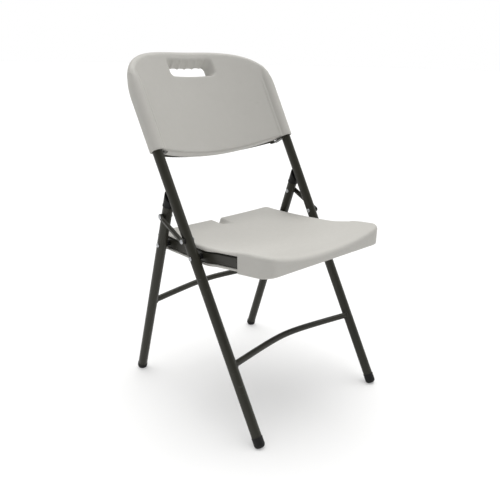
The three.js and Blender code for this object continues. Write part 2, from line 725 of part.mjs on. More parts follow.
// A flat bar in the side view with a round end over each pivot.
function linkBar() {
  const length = linkEnd.length();
  const outline = new THREE.Shape()
    .absarc(length, 0, LINK_HALF_WIDTH, -Math.PI / 2, Math.PI / 2)
    .absarc(0, 0, LINK_HALF_WIDTH, Math.PI / 2, 1.5 * Math.PI);
  for (const x of [0, length])
    outline.holes.push(new THREE.Path().absarc(x, 0, RIVET_RADIUS + GAP, 0, 2 * Math.PI));
  const bar = new THREE.ExtrudeGeometry(outline, {
    depth: LINK_THICKNESS,
    bevelEnabled: false,
    curveSegments: 6,
  });
  const along = new THREE.Vector3(0, linkEnd.x, linkEnd.y).normalize();
  const up = new THREE.Vector3(0, -along.z, along.y);
  return bar.applyMatrix4(new THREE.Matrix4().makeBasis(along, up, new THREE.Vector3(1, 0, 0)));
}

for (const [word, side] of sides) {
  const railInner = railX - RAIL_WALL - GAP - RIVET_HEAD_HEIGHT;
  const tubeHead = tubeOutside + GAP + RIVET_HEAD_HEIGHT;
  const linkHead = linkOutside + GAP + RIVET_HEAD_HEIGHT;
  const tubeInnerHead = tubeInside - GAP - RIVET_HEAD_HEIGHT;

  const seatRivet = rivet(...across(side, railInner, tubeHead));
  add(frontFrame, `seat_pivot_rivet_${word}`, seatRivet, zincPlate()).position.z = SEAT_PIVOT_UP;
  const linkRivet = rivet(...across(side, tubeInnerHead, linkHead));
  add(frontFrame, `link_front_rivet_${word}`, linkRivet, zincPlate()).position.z = linkPivotUp;
  const gapRing = spacer(...across(side, tubeOutside + GAP, linkInside - GAP));
  add(frontFrame, `link_front_spacer_${word}`, gapRing, blackPlastic()).position.z = linkPivotUp;

  add(seat, `seat_rail_${word}`, seatRail(side), powderCoat());
  const seatSpacer = spacer(...across(side, railX + GAP, tubeInside - GAP));
  add(seat, `seat_front_spacer_${word}`, seatSpacer, blackPlastic());
  add(seat, `seat_rear_spacer_${word}`, seatSpacer, blackPlastic()).position.y = pivotSpan;
  add(seat, `rear_pivot_rivet_${word}`, seatRivet, zincPlate()).position.y = pivotSpan;

  // The link's rear rivet is in two halves, one on the rear tube and one on the link.
  const tubeStub = stub(side * (tubeOutside - GAP), side * tubeInnerHead);
  add(rearFrame, `link_rear_stub_${word}`, tubeStub, zincPlate()).position.z = rearLinkPivotUp;

  const link = new THREE.Group();
  link.position.set(0, linkPivotUp * Math.sin(FRONT_LEAN), linkPivotUp * Math.cos(FRONT_LEAN));
  chair.add(link);
  add(link, `link_${word}`, linkBar(), powderCoat()).position.x = across(side, linkInside, linkOutside)[0];
  const endRivet = add(link, `link_rear_rivet_${word}`, stub(side * (tubeOutside + GAP), side * linkHead), zincPlate());
  const endSpacer = add(link, `link_rear_spacer_${word}`, gapRing, blackPlastic());
  for (const piece of [endRivet, endSpacer]) piece.position.set(0, linkEnd.x, linkEnd.y);
}

// The origin is on the floor, under the middle of the whole chair.
const extent = new THREE.Box3().setFromObject(chair, true);
const middle = extent.getCenter(new THREE.Vector3());
for (const group of chair.children) group.position.y -= middle.y;

export default chair;
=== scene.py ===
# %% [markdown]
# # A folding chair: steel tube frame, moulded plastic seat and back
# The CAD model holds the real sizes, and this script gives it its looks. Every piece is made in the
# CAD frame, in millimetres from a pivot, and then placed in metres, so nothing has to be fitted by eye.

# %% The frame comes in
import json
import math

import bmesh
import bpy
import numpy as np
from mathutils import Matrix, Vector


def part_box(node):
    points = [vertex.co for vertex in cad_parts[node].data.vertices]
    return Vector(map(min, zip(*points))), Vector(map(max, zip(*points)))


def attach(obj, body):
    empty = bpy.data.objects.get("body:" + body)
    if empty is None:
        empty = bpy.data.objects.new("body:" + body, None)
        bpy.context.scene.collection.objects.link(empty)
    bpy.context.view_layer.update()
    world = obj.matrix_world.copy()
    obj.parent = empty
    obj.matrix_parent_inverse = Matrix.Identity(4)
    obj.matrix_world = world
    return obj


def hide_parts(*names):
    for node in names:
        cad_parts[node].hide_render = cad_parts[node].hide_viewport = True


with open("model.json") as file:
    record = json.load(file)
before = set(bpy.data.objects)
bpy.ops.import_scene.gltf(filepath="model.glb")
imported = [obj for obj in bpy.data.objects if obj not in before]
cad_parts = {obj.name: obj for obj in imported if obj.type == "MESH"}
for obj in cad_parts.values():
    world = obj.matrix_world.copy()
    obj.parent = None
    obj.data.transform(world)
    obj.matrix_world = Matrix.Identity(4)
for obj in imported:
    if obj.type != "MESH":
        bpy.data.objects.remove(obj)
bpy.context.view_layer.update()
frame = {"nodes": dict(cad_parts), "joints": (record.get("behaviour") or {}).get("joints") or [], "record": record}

# %% [markdown]
# ## Where things are
# The chair is built round four pivots. The front tubes pass through the seat pivot and the link pivot,
# and the rear tubes through the rear pivot and the link's tip, so two pivots give each frame's lean.
# A place is a matrix from millimetres in a leaning frame (x across, v to the rear, u up the tube) to
# metres in the CAD frame.

# %% Pivots and places
MM = 0.001


def middle(node):
    low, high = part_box(node)
    return (low + high) / 2


def leaning(origin, up):
    up = up.normalized()
    turn = Matrix(((1, 0, 0), (0, up.z, up.y), (0, -up.y, up.z))).to_4x4()
    return Matrix.Translation(origin) @ turn @ Matrix.Scale(MM, 4)


pivots = {joint["name"]: Vector(joint["pos_m"]) for joint in frame["joints"]}
seat_pivot, rear_pivot = pivots["seat_fold"], pivots["rear_frame_fold"]
link_pivot = pivots["left_link_turn"]
link_tip = middle("link_rear_stub_left") * Vector((0, 1, 1))
front_place = leaning(seat_pivot, link_pivot - seat_pivot)
rear_place = leaning(rear_pivot, link_tip - rear_pivot)
link_place = leaning(link_pivot, link_tip - link_pivot)
seat_place = leaning(seat_pivot, Vector((0, 0, 1)))
TUBE_X = middle("front_tube_left").x / MM
PIVOT_SPAN = (rear_pivot.y - seat_pivot.y) / MM
SIDES = [("left", 1), ("right", -1)]
print("tubes at x", round(TUBE_X, 1), "mm, pivots", round(PIVOT_SPAN, 1), "mm apart")

# %% [markdown]
# ## Shader groups
# Four effects turn up on more than one finish: a broad mottle, a fine grain, rubbed edges and scuffs.
# Each is a node group with named inputs, so that a finish only gives its own scale and strength. They
# read Object coordinates, because every piece sits at the origin with its place in its mesh.

# %% Helpers that place nodes
def put(tree, kind, inputs=None, **settings):
    node = tree.nodes.new(kind)
    for key, value in settings.items():
        setattr(node, key, value)
    for key, value in (inputs or {}).items():
        if isinstance(value, bpy.types.NodeSocket):
            tree.links.new(value, node.inputs[key])
        else:
            node.inputs[key].default_value = value
    return node


def maths(tree, operation, *values, clamp=False):
    inputs = dict(enumerate(values))
    return put(tree, "ShaderNodeMath", inputs, operation=operation, use_clamp=clamp).outputs[0]


def ranged(tree, value, low, high, start=0.0, end=1.0):
    """Takes start..end to low..high, and holds the value at both ends."""
    inputs = {"Value": value, "From Min": start, "From Max": end, "To Min": low, "To Max": high}
    return put(tree, "ShaderNodeMapRange", inputs).outputs["Result"]


def shader_group(name, inputs, output):
    tree = bpy.data.node_groups.new(name, "ShaderNodeTree")
    for label, value in inputs.items():
        socket = tree.interface.new_socket(label, in_out="INPUT", socket_type="NodeSocketFloat")
        socket.default_value = value
    tree.interface.new_socket(output, in_out="OUTPUT", socket_type="NodeSocketFloat")
    return tree, tree.nodes.new("NodeGroupInput").outputs, tree.nodes.new("NodeGroupOutput").inputs


# %% Mottle: slow change of colour and gloss, from 0 to 1
mottle, given, result = shader_group("mottle", {"Scale": 8.0, "Spread": 0.5}, "Value")
point = put(mottle, "ShaderNodeTexCoord").outputs["Object"]
broad = put(mottle, "ShaderNodeTexNoise", {"Vector": point, "Scale": given["Scale"], "Detail": 3.0})
finer_scale = maths(mottle, "MULTIPLY", given["Scale"], 9.0)
finer = put(mottle, "ShaderNodeTexNoise", {"Vector": point, "Scale": finer_scale, "Detail": 2.0})
most = maths(mottle, "MULTIPLY", broad.outputs["Fac"], 0.65)
mixed = maths(mottle, "MULTIPLY_ADD", finer.outputs["Fac"], 0.35, most)
centred = maths(mottle, "SUBTRACT", mixed, 0.5)
spread = maths(mottle, "MULTIPLY_ADD", centred, given["Spread"], 0.5, clamp=True)
mottle.links.new(spread, result["Value"])

# %% Grain: the fine pebbled height of moulded plastic or powder coat
grain, given, result = shader_group("grain", {"Scale": 900.0, "Pebble": 0.5}, "Height")
point = put(grain, "ShaderNodeTexCoord").outputs["Object"]
cells = put(grain, "ShaderNodeTexVoronoi", {"Vector": point, "Scale": given["Scale"]}, feature="SMOOTH_F1")
half_scale = maths(grain, "MULTIPLY", given["Scale"], 0.5)
soft = put(grain, "ShaderNodeTexNoise", {"Vector": point, "Scale": half_scale, "Detail": 4.0})
pebbles = maths(grain, "MULTIPLY", cells.outputs["Distance"], given["Pebble"])
height = maths(grain, "SUBTRACT", soft.outputs["Fac"], pebbles)
grain.links.new(height, result["Height"])

# %% Rubbed edges: where a rounded normal leaves the true one, broken up by noise
rub, given, result = shader_group("rubbed_edges", {"Radius": 0.0012, "Scale": 120.0, "Amount": 1.0}, "Mask")
rounded = put(rub, "ShaderNodeBevel", {"Radius": given["Radius"]}, samples=4)
true_normal = put(rub, "ShaderNodeNewGeometry").outputs["Normal"]
meet = put(rub, "ShaderNodeVectorMath", {0: rounded.outputs[0], 1: true_normal}, operation="DOT_PRODUCT")
apart = maths(rub, "SUBTRACT", 1.0, meet.outputs["Value"])
sharpened = maths(rub, "MULTIPLY", apart, 7.0, clamp=True)
point = put(rub, "ShaderNodeTexCoord").outputs["Object"]
broken = put(rub, "ShaderNodeTexNoise", {"Vector": point, "Scale": given["Scale"], "Detail": 3.0})
uneven = ranged(rub, broken.outputs["Fac"], 0.0, 1.0, 0.42, 0.62)
worn = maths(rub, "MULTIPLY", sharpened, uneven)
rub.links.new(maths(rub, "MULTIPLY", worn, given["Amount"], clamp=True), result["Mask"])

# %% Scuffs: thin marks that run one way, from noise stretched along x
scuffs, given, result = shader_group("scuffs", {"Scale": 60.0, "Amount": 0.5}, "Mask")
point = put(scuffs, "ShaderNodeTexCoord").outputs["Object"]
STRETCH, SLANT = (0.18, 1.0, 1.6), (0.5, 0.3, 0.4)
stretched = put(scuffs, "ShaderNodeMapping", {"Vector": point, "Scale": STRETCH, "Rotation": SLANT})
run = {"Vector": stretched.outputs[0], "Scale": given["Scale"], "Detail": 5.0}
streaks = put(scuffs, "ShaderNodeTexNoise", run)
patches = put(scuffs, "ShaderNodeTexNoise", {"Vector": point, "Scale": 9.0, "Detail": 1.0})
thin = ranged(scuffs, streaks.outputs["Fac"], 0.0, 1.0, 0.66, 0.74)
here = ranged(scuffs, patches.outputs["Fac"], 0.0, 1.0, 0.5, 0.62)
marks = maths(scuffs, "MULTIPLY", thin, here)
scuffs.links.new(maths(scuffs, "MULTIPLY", marks, given["Amount"]), result["Mask"])
print("shader groups:", [group.name for group in bpy.data.node_groups])


# %% Helpers for a finish
def finish_of(name, **constants):
    material = bpy.data.materials.new(name)
    material.use_nodes = True
    tree = material.node_tree
    tree.nodes.clear()
    shader = put(tree, "ShaderNodeBsdfPrincipled", constants)
    put(tree, "ShaderNodeOutputMaterial", {"Surface": shader.outputs["BSDF"]})
    return material, tree, shader


def effect(tree, group, **inputs):
    node = put(tree, "ShaderNodeGroup", node_tree=group)
    for key, value in inputs.items():
        node.inputs[key].default_value = value
    return node.outputs[0]


def blended(tree, factor, first, second):
    node = put(tree, "ShaderNodeMix", data_type="RGBA")
    pairs = zip((0, 6, 7), (factor, first, second))
    for index, value in pairs:
        if isinstance(value, bpy.types.NodeSocket):
            tree.links.new(value, node.inputs[index])
        else:
            node.inputs[index].default_value = (*value, 1) if index else value
    return node.outputs[2]


def bumped(tree, height, distance, strength=1.0, below=None):
    inputs = {"Height": height, "Distance": distance, "Strength": strength}
    if below is not None:
        inputs["Normal"] = below
    return put(tree, "ShaderNodeBump", inputs).outputs["Normal"]


def feed(tree, shader, colour, roughness, normal):
    for name, value in (("Base Color", colour), ("Roughness", roughness), ("Normal", normal)):
        tree.links.new(value, shader.inputs[name])


# %% [markdown]
# ## Panel plastic
# The seat and back are blow-moulded polyethylene in a warm light grey. The mould is sand-blasted, so
# the skin has a fine matt pebble, and the hollow wall cools unevenly, which leaves a slow waviness. The
# mould's two halves leave a faint parting line. Its place is an attribute on the mesh, because it
# follows the surface and not the axes.

# %% Panel plastic
panel_plastic, tree, shader = finish_of("panel_plastic", **{"IOR": 1.5, "Specular IOR Level": 0.42})
tone = effect(tree, mottle, Scale=7.0, Spread=1.1)
speck = effect(tree, mottle, Scale=90.0, Spread=1.4)
colour = blended(tree, tone, (0.438, 0.428, 0.401), (0.476, 0.466, 0.438))
colour = blended(tree, ranged(tree, speck, 0.0, 0.16), colour, (0.39, 0.38, 0.35))
colour = blended(tree, effect(tree, rub, Radius=0.0015, Amount=0.35), colour, (0.6, 0.595, 0.57))
colour = blended(tree, effect(tree, scuffs, Scale=70.0, Amount=0.22), colour, (0.38, 0.37, 0.34))
wave = bumped(tree, effect(tree, mottle, Scale=16.0, Spread=1.0), 0.0009, 0.5)
distance = put(tree, "ShaderNodeAttribute", attribute_name="parting").outputs["Fac"]
LINE_HALF = 0.7
near = ranged(tree, maths(tree, "ABSOLUTE", distance), 1.0, 0.0, 0.0, LINE_HALF)
line = bumped(tree, near, 0.0004, 0.7, wave)
pebble = effect(tree, grain, Scale=1100.0, Pebble=0.6)
feed(tree, shader, colour, ranged(tree, speck, 0.5, 0.66), bumped(tree, pebble, 0.0003, 0.8, line))

# %% [markdown]
# ## Powder-coated steel
# Tubes, rails and links are mild steel under a satin powder coat, a dark grey that leans to brown. The
# powder melts into a skin with a fine orange peel, and wears thin on edges, where grey steel shows.

# %% Frame steel
frame_steel, tree, shader = finish_of("frame_steel", **{"IOR": 1.5, "Specular IOR Level": 0.3})
tone = effect(tree, mottle, Scale=11.0, Spread=1.2)
colour = blended(tree, tone, (0.021, 0.020, 0.0145), (0.030, 0.029, 0.0215))
worn = effect(tree, rub, Radius=0.0008, Scale=200.0, Amount=0.5)
colour = blended(tree, worn, colour, (0.16, 0.155, 0.145))
marks = effect(tree, scuffs, Scale=90.0, Amount=0.35)
colour = blended(tree, marks, colour, (0.12, 0.117, 0.105))
gloss = effect(tree, mottle, Scale=40.0, Spread=1.6)
tree.links.new(ranged(tree, worn, 0.08, 0.8), shader.inputs["Metallic"])
peel = effect(tree, grain, Scale=420.0, Pebble=0.25)
feed(tree, shader, colour, ranged(tree, gloss, 0.3, 0.42), bumped(tree, peel, 0.00012, 0.6))

# %% [markdown]
# ## Black plastic and zinc
# Feet, caps and spacers are black polypropylene, satin, a little dusty and scuffed grey where they
# drag. Rivets and screws are zinc plated: bright, with a soft grain from the plating bath.

# %% Black plastic
black_plastic, tree, shader = finish_of("black_plastic", **{"IOR": 1.49, "Specular IOR Level": 0.25})
tone = effect(tree, mottle, Scale=45.0, Spread=1.4)
colour = blended(tree, tone, (0.004, 0.004, 0.004), (0.009, 0.009, 0.009))
worn = effect(tree, rub, Radius=0.001, Scale=260.0, Amount=0.35)
colour = blended(tree, worn, colour, (0.07, 0.068, 0.063))
colour = blended(tree, effect(tree, scuffs, Scale=160.0, Amount=0.4), colour, (0.06, 0.058, 0.054))
skin = bumped(tree, effect(tree, grain, Scale=1500.0, Pebble=0.4), 0.00008, 0.5)
feed(tree, shader, colour, ranged(tree, tone, 0.42, 0.6), skin)

# %% Zinc
zinc, tree, shader = finish_of("zinc", Metallic=1.0)
tone = effect(tree, mottle, Scale=120.0, Spread=1.5)
colour = blended(tree, tone, (0.36, 0.37, 0.385), (0.52, 0.53, 0.54))
colour = blended(tree, effect(tree, rub, Radius=0.0006, Scale=500.0, Amount=0.5), colour, (0.88, 0.88, 0.87))
skin = bumped(tree, effect(tree, grain, Scale=1800.0, Pebble=0.2), 0.00005, 0.5)
feed(tree, shader, colour, ranged(tree, tone, 0.22, 0.42), skin)
FINISHES = {"panel_plastic": panel_plastic, "frame_steel": frame_steel,
            "black_plastic": black_plastic, "zinc": zinc}
print("finishes:", sorted(FINISHES))

# %% [markdown]
# ## From points and faces to a piece
# A finished piece is a plain mesh object at the origin. Its points are given in millimetres in a
# place, and the matrix takes them to metres. Faces are smooth, with an edge kept sharp past an angle.

# %% Mesh helpers
def settle(obj, body, slot, *nodes):
    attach(obj, body)
    if nodes:
        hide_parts(*nodes)
    print(obj.name, len(obj.data.polygons), "faces on", body)
    return obj


def object_of(name, mesh, sharp=35.0):
    mesh.name = name
    mesh.polygons.foreach_set("use_smooth", [True] * len(mesh.polygons))
    mesh.set_sharp_from_angle(angle=math.radians(sharp))
    obj = bpy.data.objects.new(name, mesh)
    bpy.context.scene.collection.objects.link(obj)
    return obj


def mesh_of(points, faces, place, finish):
    mesh = bpy.data.meshes.new("piece")
    mesh.from_pydata(np.asarray(points, float).tolist(), [], faces)
    mesh.transform(place)
    mesh.materials.append(finish)
    mesh.update()
    return mesh


def lofted(rings, place, finish):
    """A closed skin through rings of points, capped at both ends, with its normals made to point out."""
    count = len(rings[0])
    faces = []
    for ring in range(len(rings) - 1):
        for k in range(count):
            after = (k + 1) % count
            a, b = ring * count, (ring + 1) * count
            faces.append((a + k, a + after, b + after, b + k))
    faces += [tuple(reversed(range(count))), tuple(range(len(rings) * count - count, len(rings) * count))]
    mesh = mesh_of(np.concatenate(rings), faces, place, finish)
    shape = bmesh.new()
    shape.from_mesh(mesh)
    bmesh.ops.recalc_face_normals(shape, faces=shape.faces)
    shape.to_mesh(mesh)
    shape.free()
    return mesh


# %% [markdown]
# ## Soft moulded shapes as fields
# Blow-moulded parts have no sharp corners: every wall runs into the next through a fillet. Booleans
# and bevels are fragile on such shapes. A field is easier. It is a function of a point that says how
# far the surface is, negative inside. Two walls meet in a fillet by a rounded maximum, and a hole is
# cut by the same maximum with its sign turned. The zero surface is found on a grid: each cell that
# the surface crosses gets one point, neighbours are joined by quads, and the points then slide on to
# the true surface along the field's slope.

# %% Field helpers
def both(a, b, radius):
    """Inside both, with a fillet of that radius where they meet."""
    corner = np.hypot(np.maximum(a + radius, 0), np.maximum(b + radius, 0))
    return np.minimum(-radius, np.maximum(a, b)) + corner


def either(a, b, blend):
    """Inside one or the other, flowing together over the blend's width."""
    share = np.maximum(blend - np.abs(a - b), 0) / blend
    return np.minimum(a, b) - share * share * blend / 4


def eased(value, start, end):
    t = np.clip((value - start) / (end - start), 0, 1)
    return t * t * (3 - 2 * t)


def block(x, y, half_x, half_y, radius):
    """Distance in the plane to a rectangle with rounded corners."""
    a, b = np.abs(x) - (half_x - radius), np.abs(y) - (half_y - radius)
    return np.hypot(np.maximum(a, 0), np.maximum(b, 0)) + np.minimum(np.maximum(a, b), 0) - radius


def slope_length(surface, x, y, reach=0.4):
    """How much longer a step on z = surface(x, y) is than its plan. It turns heights into distances."""
    across = (surface(x + reach, y) - surface(x - reach, y)) / (2 * reach)
    along = (surface(x, y + reach) - surface(x, y - reach)) / (2 * reach)
    return np.sqrt(1 + across * across + along * along)


# %% The grid that turns a field into a mesh
CORNERS = [(i, j, k) for i in (0, 1) for j in (0, 1) for k in (0, 1)]


def cell_points(values, inside, axes, step):
    shape = tuple(n - 1 for n in inside.shape)
    part = lambda grid, c: grid[c[0]:c[0] + shape[0], c[1]:c[1] + shape[1], c[2]:c[2] + shape[2]]
    filled = sum(part(inside, c).astype(np.int8) for c in CORNERS)
    crossed = (filled > 0) & (filled < 8)
    where = np.argwhere(crossed)
    total, count = np.zeros((len(where), 3)), np.zeros(len(where))
    for c in CORNERS:
        for axis in range(3):
            if c[axis]:
                continue
            d = tuple(v + (n == axis) for n, v in enumerate(c))
            a, b = part(values, c)[crossed], part(values, d)[crossed]
            cut = (a < 0) != (b < 0)
            share = np.where(cut, a / np.where(a == b, 1, a - b), 0)
            spot = np.array(c, float) + np.outer(share, np.eye(3)[axis])
            total += spot * cut[:, None]
            count += cut
    low = np.array([axis[0] for axis in axes])
    return low + (where + total / count[:, None]) * step, crossed


def cell_faces(inside, crossed):
    index = np.full(crossed.shape, -1)
    index[crossed] = np.arange(crossed.sum())
    faces = []
    for axis in range(3):
        a, b = (axis + 1) % 3, (axis + 2) % 3
        turned = np.moveaxis(inside, (axis, a, b), (0, 1, 2))
        first, second = turned[:-1], turned[1:]
        ids = np.moveaxis(index, (axis, a, b), (0, 1, 2))
        for out in (True, False):
            change = (first & ~second) if out else (~first & second)
            n, p, q = np.nonzero(change[:, 1:-1, 1:-1])
            ring = [ids[n, p, q], ids[n, p + 1, q], ids[n, p + 1, q + 1], ids[n, p, q + 1]]
            faces.append(np.stack(ring if out else ring[::-1], axis=1))
    return np.concatenate(faces)


def contoured(field, low, high, step, place, finish, slides=3):
    axes = [np.arange(a, b + step, step) for a, b in zip(low, high)]
    values = field(*np.meshgrid(*axes, indexing="ij"))
    inside = values < 0
    points, crossed = cell_points(values, inside, axes, step)
    faces = cell_faces(inside, crossed)
    reach = 0.05 * step
    for _ in range(slides):
        here = field(*points.T)
        slopes = []
        for axis in np.eye(3) * reach:
            slopes.append((field(*(points + axis).T) - field(*(points - axis).T)) / (2 * reach))
        slopes = np.stack(slopes, axis=1)
        steep = np.maximum((slopes ** 2).sum(axis=1), 0.05)
        move = slopes * (here / steep)[:, None]
        length = np.maximum(np.linalg.norm(move, axis=1), 1e-9)
        points = points - move * np.minimum(1, 0.45 * step / length)[:, None]
    mesh = mesh_of(points, faces.tolist(), place, finish)
    return mesh, points


# %% [markdown]
# ## The back
# The back is one hollow panel. Its front is a sheet that curves round the sitter, each side is a round
# bulge that takes the tube, and the top is an arch. A hand slot goes through near the top, with a scoop
# for the fingers above it. As a field it is: between two curved sheets, joined to two bulges, inside
# the arch and above the bottom edge, less the slot and the sockets.

# %% Sizes of the back, in mm from the seat pivot along the tube
BACK_BOTTOM, BACK_SHOULDER, BACK_TOP = 261.0, 394.0, 540.5
BULGE, SHEET_SETBACK, SHEET_REAR = 18.0, 40.0, 70.0
BACK_HALF = TUBE_X + BULGE
CREASE_X, CREASE_END, CREASE_SETBACK = 197.0, 441.0, -6.0
ARCH = 2.6
BEAD_TALL, BEAD_WIDE, BEAD_INSET, BEAD_FADE = 1.7, 2.4, 3.0, 25.0
UPPER_FROM, UPPER_TO = CREASE_END - 12, CREASE_END + 40
SEAM_BLEND, SEAM_BLEND_GAIN, BULGE_THINNER = 1.5, 2.5, 5.5
SIDE_ROUND, ARCH_ROUND_GAIN, EDGE_ROUND, EDGE_ROUND_LOSS = 2.0, 12.5, 4.5, 2.7
EDGE_RISE, EDGE_DIP, EDGE_HALF, LIP_FADE = 6.0, 2.0, 176, (182, 205)
FRONT_ROUND, UPPER_WIDER = 6.0, 30
SLOT_UP, SLOT_TALL = 486.0, 17.0
SLOT_HALF_FRONT, SLOT_HALF_REAR = 73.0, 59.0
FINGER_PITCH = 24.0
FINGER_TALL, FINGER_WIDE, FINGERS_END = 2.6, 4.0, (44, 56)
SLOT_CORNER, SLOT_ROUND, SCOOP = 12.0, 4.5, 12.0
SOCKET, SOCKET_DEPTH = 13.1, 26.0
SCREW_RECESS, SCREW_SEAT = 5.8, 2.6
BACK_SCREWS = [middle(f"back_screw_{row}_left") for row in ("lower", "upper")]
SCREW_UPS = [(front_place.inverted() @ spot).z for spot in BACK_SCREWS]


# %% The back's surfaces
def sheet_front(x, u):
    off_bead = (np.abs(x) - CREASE_X + BEAD_INSET) / BEAD_WIDE
    bead = BEAD_TALL * np.exp(-(off_bead ** 2)) * (1 - eased(u, CREASE_END - BEAD_FADE, CREASE_END))
    return SHEET_SETBACK - (SHEET_SETBACK - CREASE_SETBACK) * (x / CREASE_X) ** 2 - bead


def sheet_rear(x, u):
    return SHEET_REAR - (SHEET_REAR - BULGE) * (x / TUBE_X) ** 2


def arch_share(x, u):
    rise = np.maximum(u - BACK_SHOULDER, 0) / (BACK_TOP - BACK_SHOULDER)
    return (np.abs(x / BACK_HALF) ** ARCH + rise ** ARCH) ** (1 / ARCH) - 1


def arch_distance(x, u, reach=0.5):
    across = (arch_share(x + reach, u) - arch_share(x - reach, u)) / (2 * reach)
    along = (arch_share(x, u + reach) - arch_share(x, u - reach)) / (2 * reach)
    return arch_share(x, u) / np.maximum(np.hypot(across, along), 1e-4)


# %% The hand slot
def slot_distance(x, v, u):
    through = np.clip((v - sheet_front(x, u)) / (SHEET_REAR - SHEET_SETBACK), 0, 1)
    scoop = SCOOP * (1 - through) ** 1.5
    ridge = (x / FINGER_PITCH + 0.5) % 1 - 0.5
    finger = FINGER_TALL * np.exp(-((ridge * FINGER_PITCH / FINGER_WIDE) ** 2))
    finger = finger * (1 - eased(np.abs(x), *FINGERS_END))
    rise = (scoop - finger) / 2
    half = SLOT_HALF_FRONT + (SLOT_HALF_REAR - SLOT_HALF_FRONT) * through
    return block(x, u - SLOT_UP - rise, half, SLOT_TALL + rise, SLOT_CORNER)


# %% The back's field
def back_field(x, v, u):
    front = (sheet_front(x, u) - v) / slope_length(sheet_front, x, u)
    rear = (v - sheet_rear(x, u)) / slope_length(sheet_rear, x, u)
    upper = eased(u, UPPER_FROM, UPPER_TO)
    front = both(front, -BULGE - v, FRONT_ROUND)
    sheet = np.maximum(np.maximum(front, rear), np.abs(x) - TUBE_X + 1 - UPPER_WIDER * upper)
    bulge = np.hypot(np.abs(x) - TUBE_X, v) - BULGE + BULGE_THINNER * upper
    body = either(sheet, bulge, SEAM_BLEND + SEAM_BLEND_GAIN * upper)
    edge = SIDE_ROUND + ARCH_ROUND_GAIN * eased(u, BACK_SHOULDER - 10, BACK_SHOULDER + 60)
    body = both(body, arch_distance(x, u), edge)
    rise = EDGE_RISE * np.minimum(np.abs(x) / EDGE_HALF, 1) ** 2 - EDGE_DIP
    lip = EDGE_ROUND - EDGE_ROUND_LOSS * eased(np.abs(x), *LIP_FADE)
    body = both(body, BACK_BOTTOM + rise - u, lip)
    body = both(body, -slot_distance(x, v, u), SLOT_ROUND)
    socket = np.hypot(np.abs(x) - TUBE_X, v) - SOCKET
    body = np.maximum(body, -np.maximum(socket, u - BACK_BOTTOM - SOCKET_DEPTH))
    for up in SCREW_UPS:
        recess = np.hypot(np.abs(x) - TUBE_X, u - up) - SCREW_RECESS
        body = np.maximum(body, -np.maximum(recess, BULGE - SCREW_SEAT - v))
    return body


# %% The back's mesh
back_low = (-BACK_HALF - 3, -BULGE - 3, BACK_BOTTOM - 3)
back_high = (BACK_HALF + 3, SHEET_REAR + 3, BACK_TOP + 3)
mesh, points = contoured(back_field, back_low, back_high, 2.1, front_place, panel_plastic)
far_away = mesh.attributes.new("parting", "FLOAT", "POINT")
far_away.data.foreach_set("value", np.full(len(points), 9.0, np.float32))
settle(object_of("back_panel", mesh, 50), "front_frame", "panel_plastic", "back_shell")

# %% [markdown]
# ## The seat
# The seat is a second moulded panel. Its front block is full height with round corners and rises into
# two horns, and the middle is dished. Behind the block a groove in each side takes a steel rail, which
# leaves a thick lip above it and a thin one below. A channel runs in from the middle of the rear edge.
# The underside has the small conical tack-offs that tie the two walls of such a panel together.

# %% Sizes of the seat, in mm from the front pivot
SEAT_FRONT, SEAT_REAR = -232.0, PIVOT_SPAN + 53.5
BLOCK_HALF, LIP_HALF, BLOCK_REAR = 200.5, 197.0, -133.5
RAIL_HALF_HEIGHT, RAIL_INNER, RAIL_SLOPE, RAIL_BEND = 13.5, 181.5, 0.133, 60.0
LOWER_LIP, BLOCK_DROP = 6.0, 4.0
FRONT_CORNER, REAR_CORNER = 32.0, 13.0
SHADOW_GAP = 3.2
SIDE_TALL, HORN, HORN_SLOPE, HORN_STEP = 20.5, 34, 0.72, 0.28
HORN_START, HORN_RUN, HORN_MOST = 139, 332, 1.12
CENTRE_TALL, CENTRE_REAR_LIFT, CENTRE_FRONT_LIFT = 13, 4.5, 17
REAR_LIFT_START, REAR_LIFT_RUN, FRONT_LIFT_SPAN = 20, 167, (40, 200)
DISH_HALF, DISH_MOST, DISH_POWER = 195, 1.03, 2.4
CHANNEL_DEEP, CHANNEL_LONG, CHANNEL_SIDES = 22, 78, (5, 19)
TACK_PITCH, TACK_RADIUS, TACK_TAPER, TACK_DEPTH = 44.0, 8.0, 0.3, 11.0
TACKS_HALF_WIDE, TACKS_HALF_LONG, TACKS_MIDDLE, BAR_CLEAR = 158, 166, -11, 24
TOP_ROUND, TOP_ROUND_GAIN, UNDER_ROUND, GROOVE_ROUND, TACK_ROUND = 8, 3, 4.0, 2.2, 1.5
POCKET_HALF, POCKET_TALL = 12, 5
CROSSBARS = [middle(f"seat_crossbar_{row}") for row in ("front", "rear")]


# %% The seat's surfaces
def rail_line(y):
    return np.maximum(-y, 0) * RAIL_SLOPE * eased(-y, 0, RAIL_BEND)


def seat_top(x, y):
    forward = np.clip((HORN_START - y) / HORN_RUN, 0, HORN_MOST)
    side = SIDE_TALL + HORN * (HORN_SLOPE * forward ** 1.5 + HORN_STEP * eased(forward, 0.6, 0.95))
    centre = CENTRE_TALL + CENTRE_REAR_LIFT * (np.maximum(y - REAR_LIFT_START, 0) / REAR_LIFT_RUN) ** 2
    centre = centre + CENTRE_FRONT_LIFT * eased(-y, *FRONT_LIFT_SPAN)
    top = centre + (side - centre) * np.minimum(np.abs(x) / DISH_HALF, DISH_MOST) ** DISH_POWER
    inward = np.clip((SEAT_REAR - y) / CHANNEL_LONG, 0, 1)
    channel = CHANNEL_DEEP * (1 - inward) ** 1.6 * (1 - eased(np.abs(x), *CHANNEL_SIDES))
    return top - channel


def seat_bottom(x, y):
    drop = BLOCK_DROP * eased(-y, -BLOCK_REAR - 1, -BLOCK_REAR + 2)
    return rail_line(y) - RAIL_HALF_HEIGHT - LOWER_LIP - drop


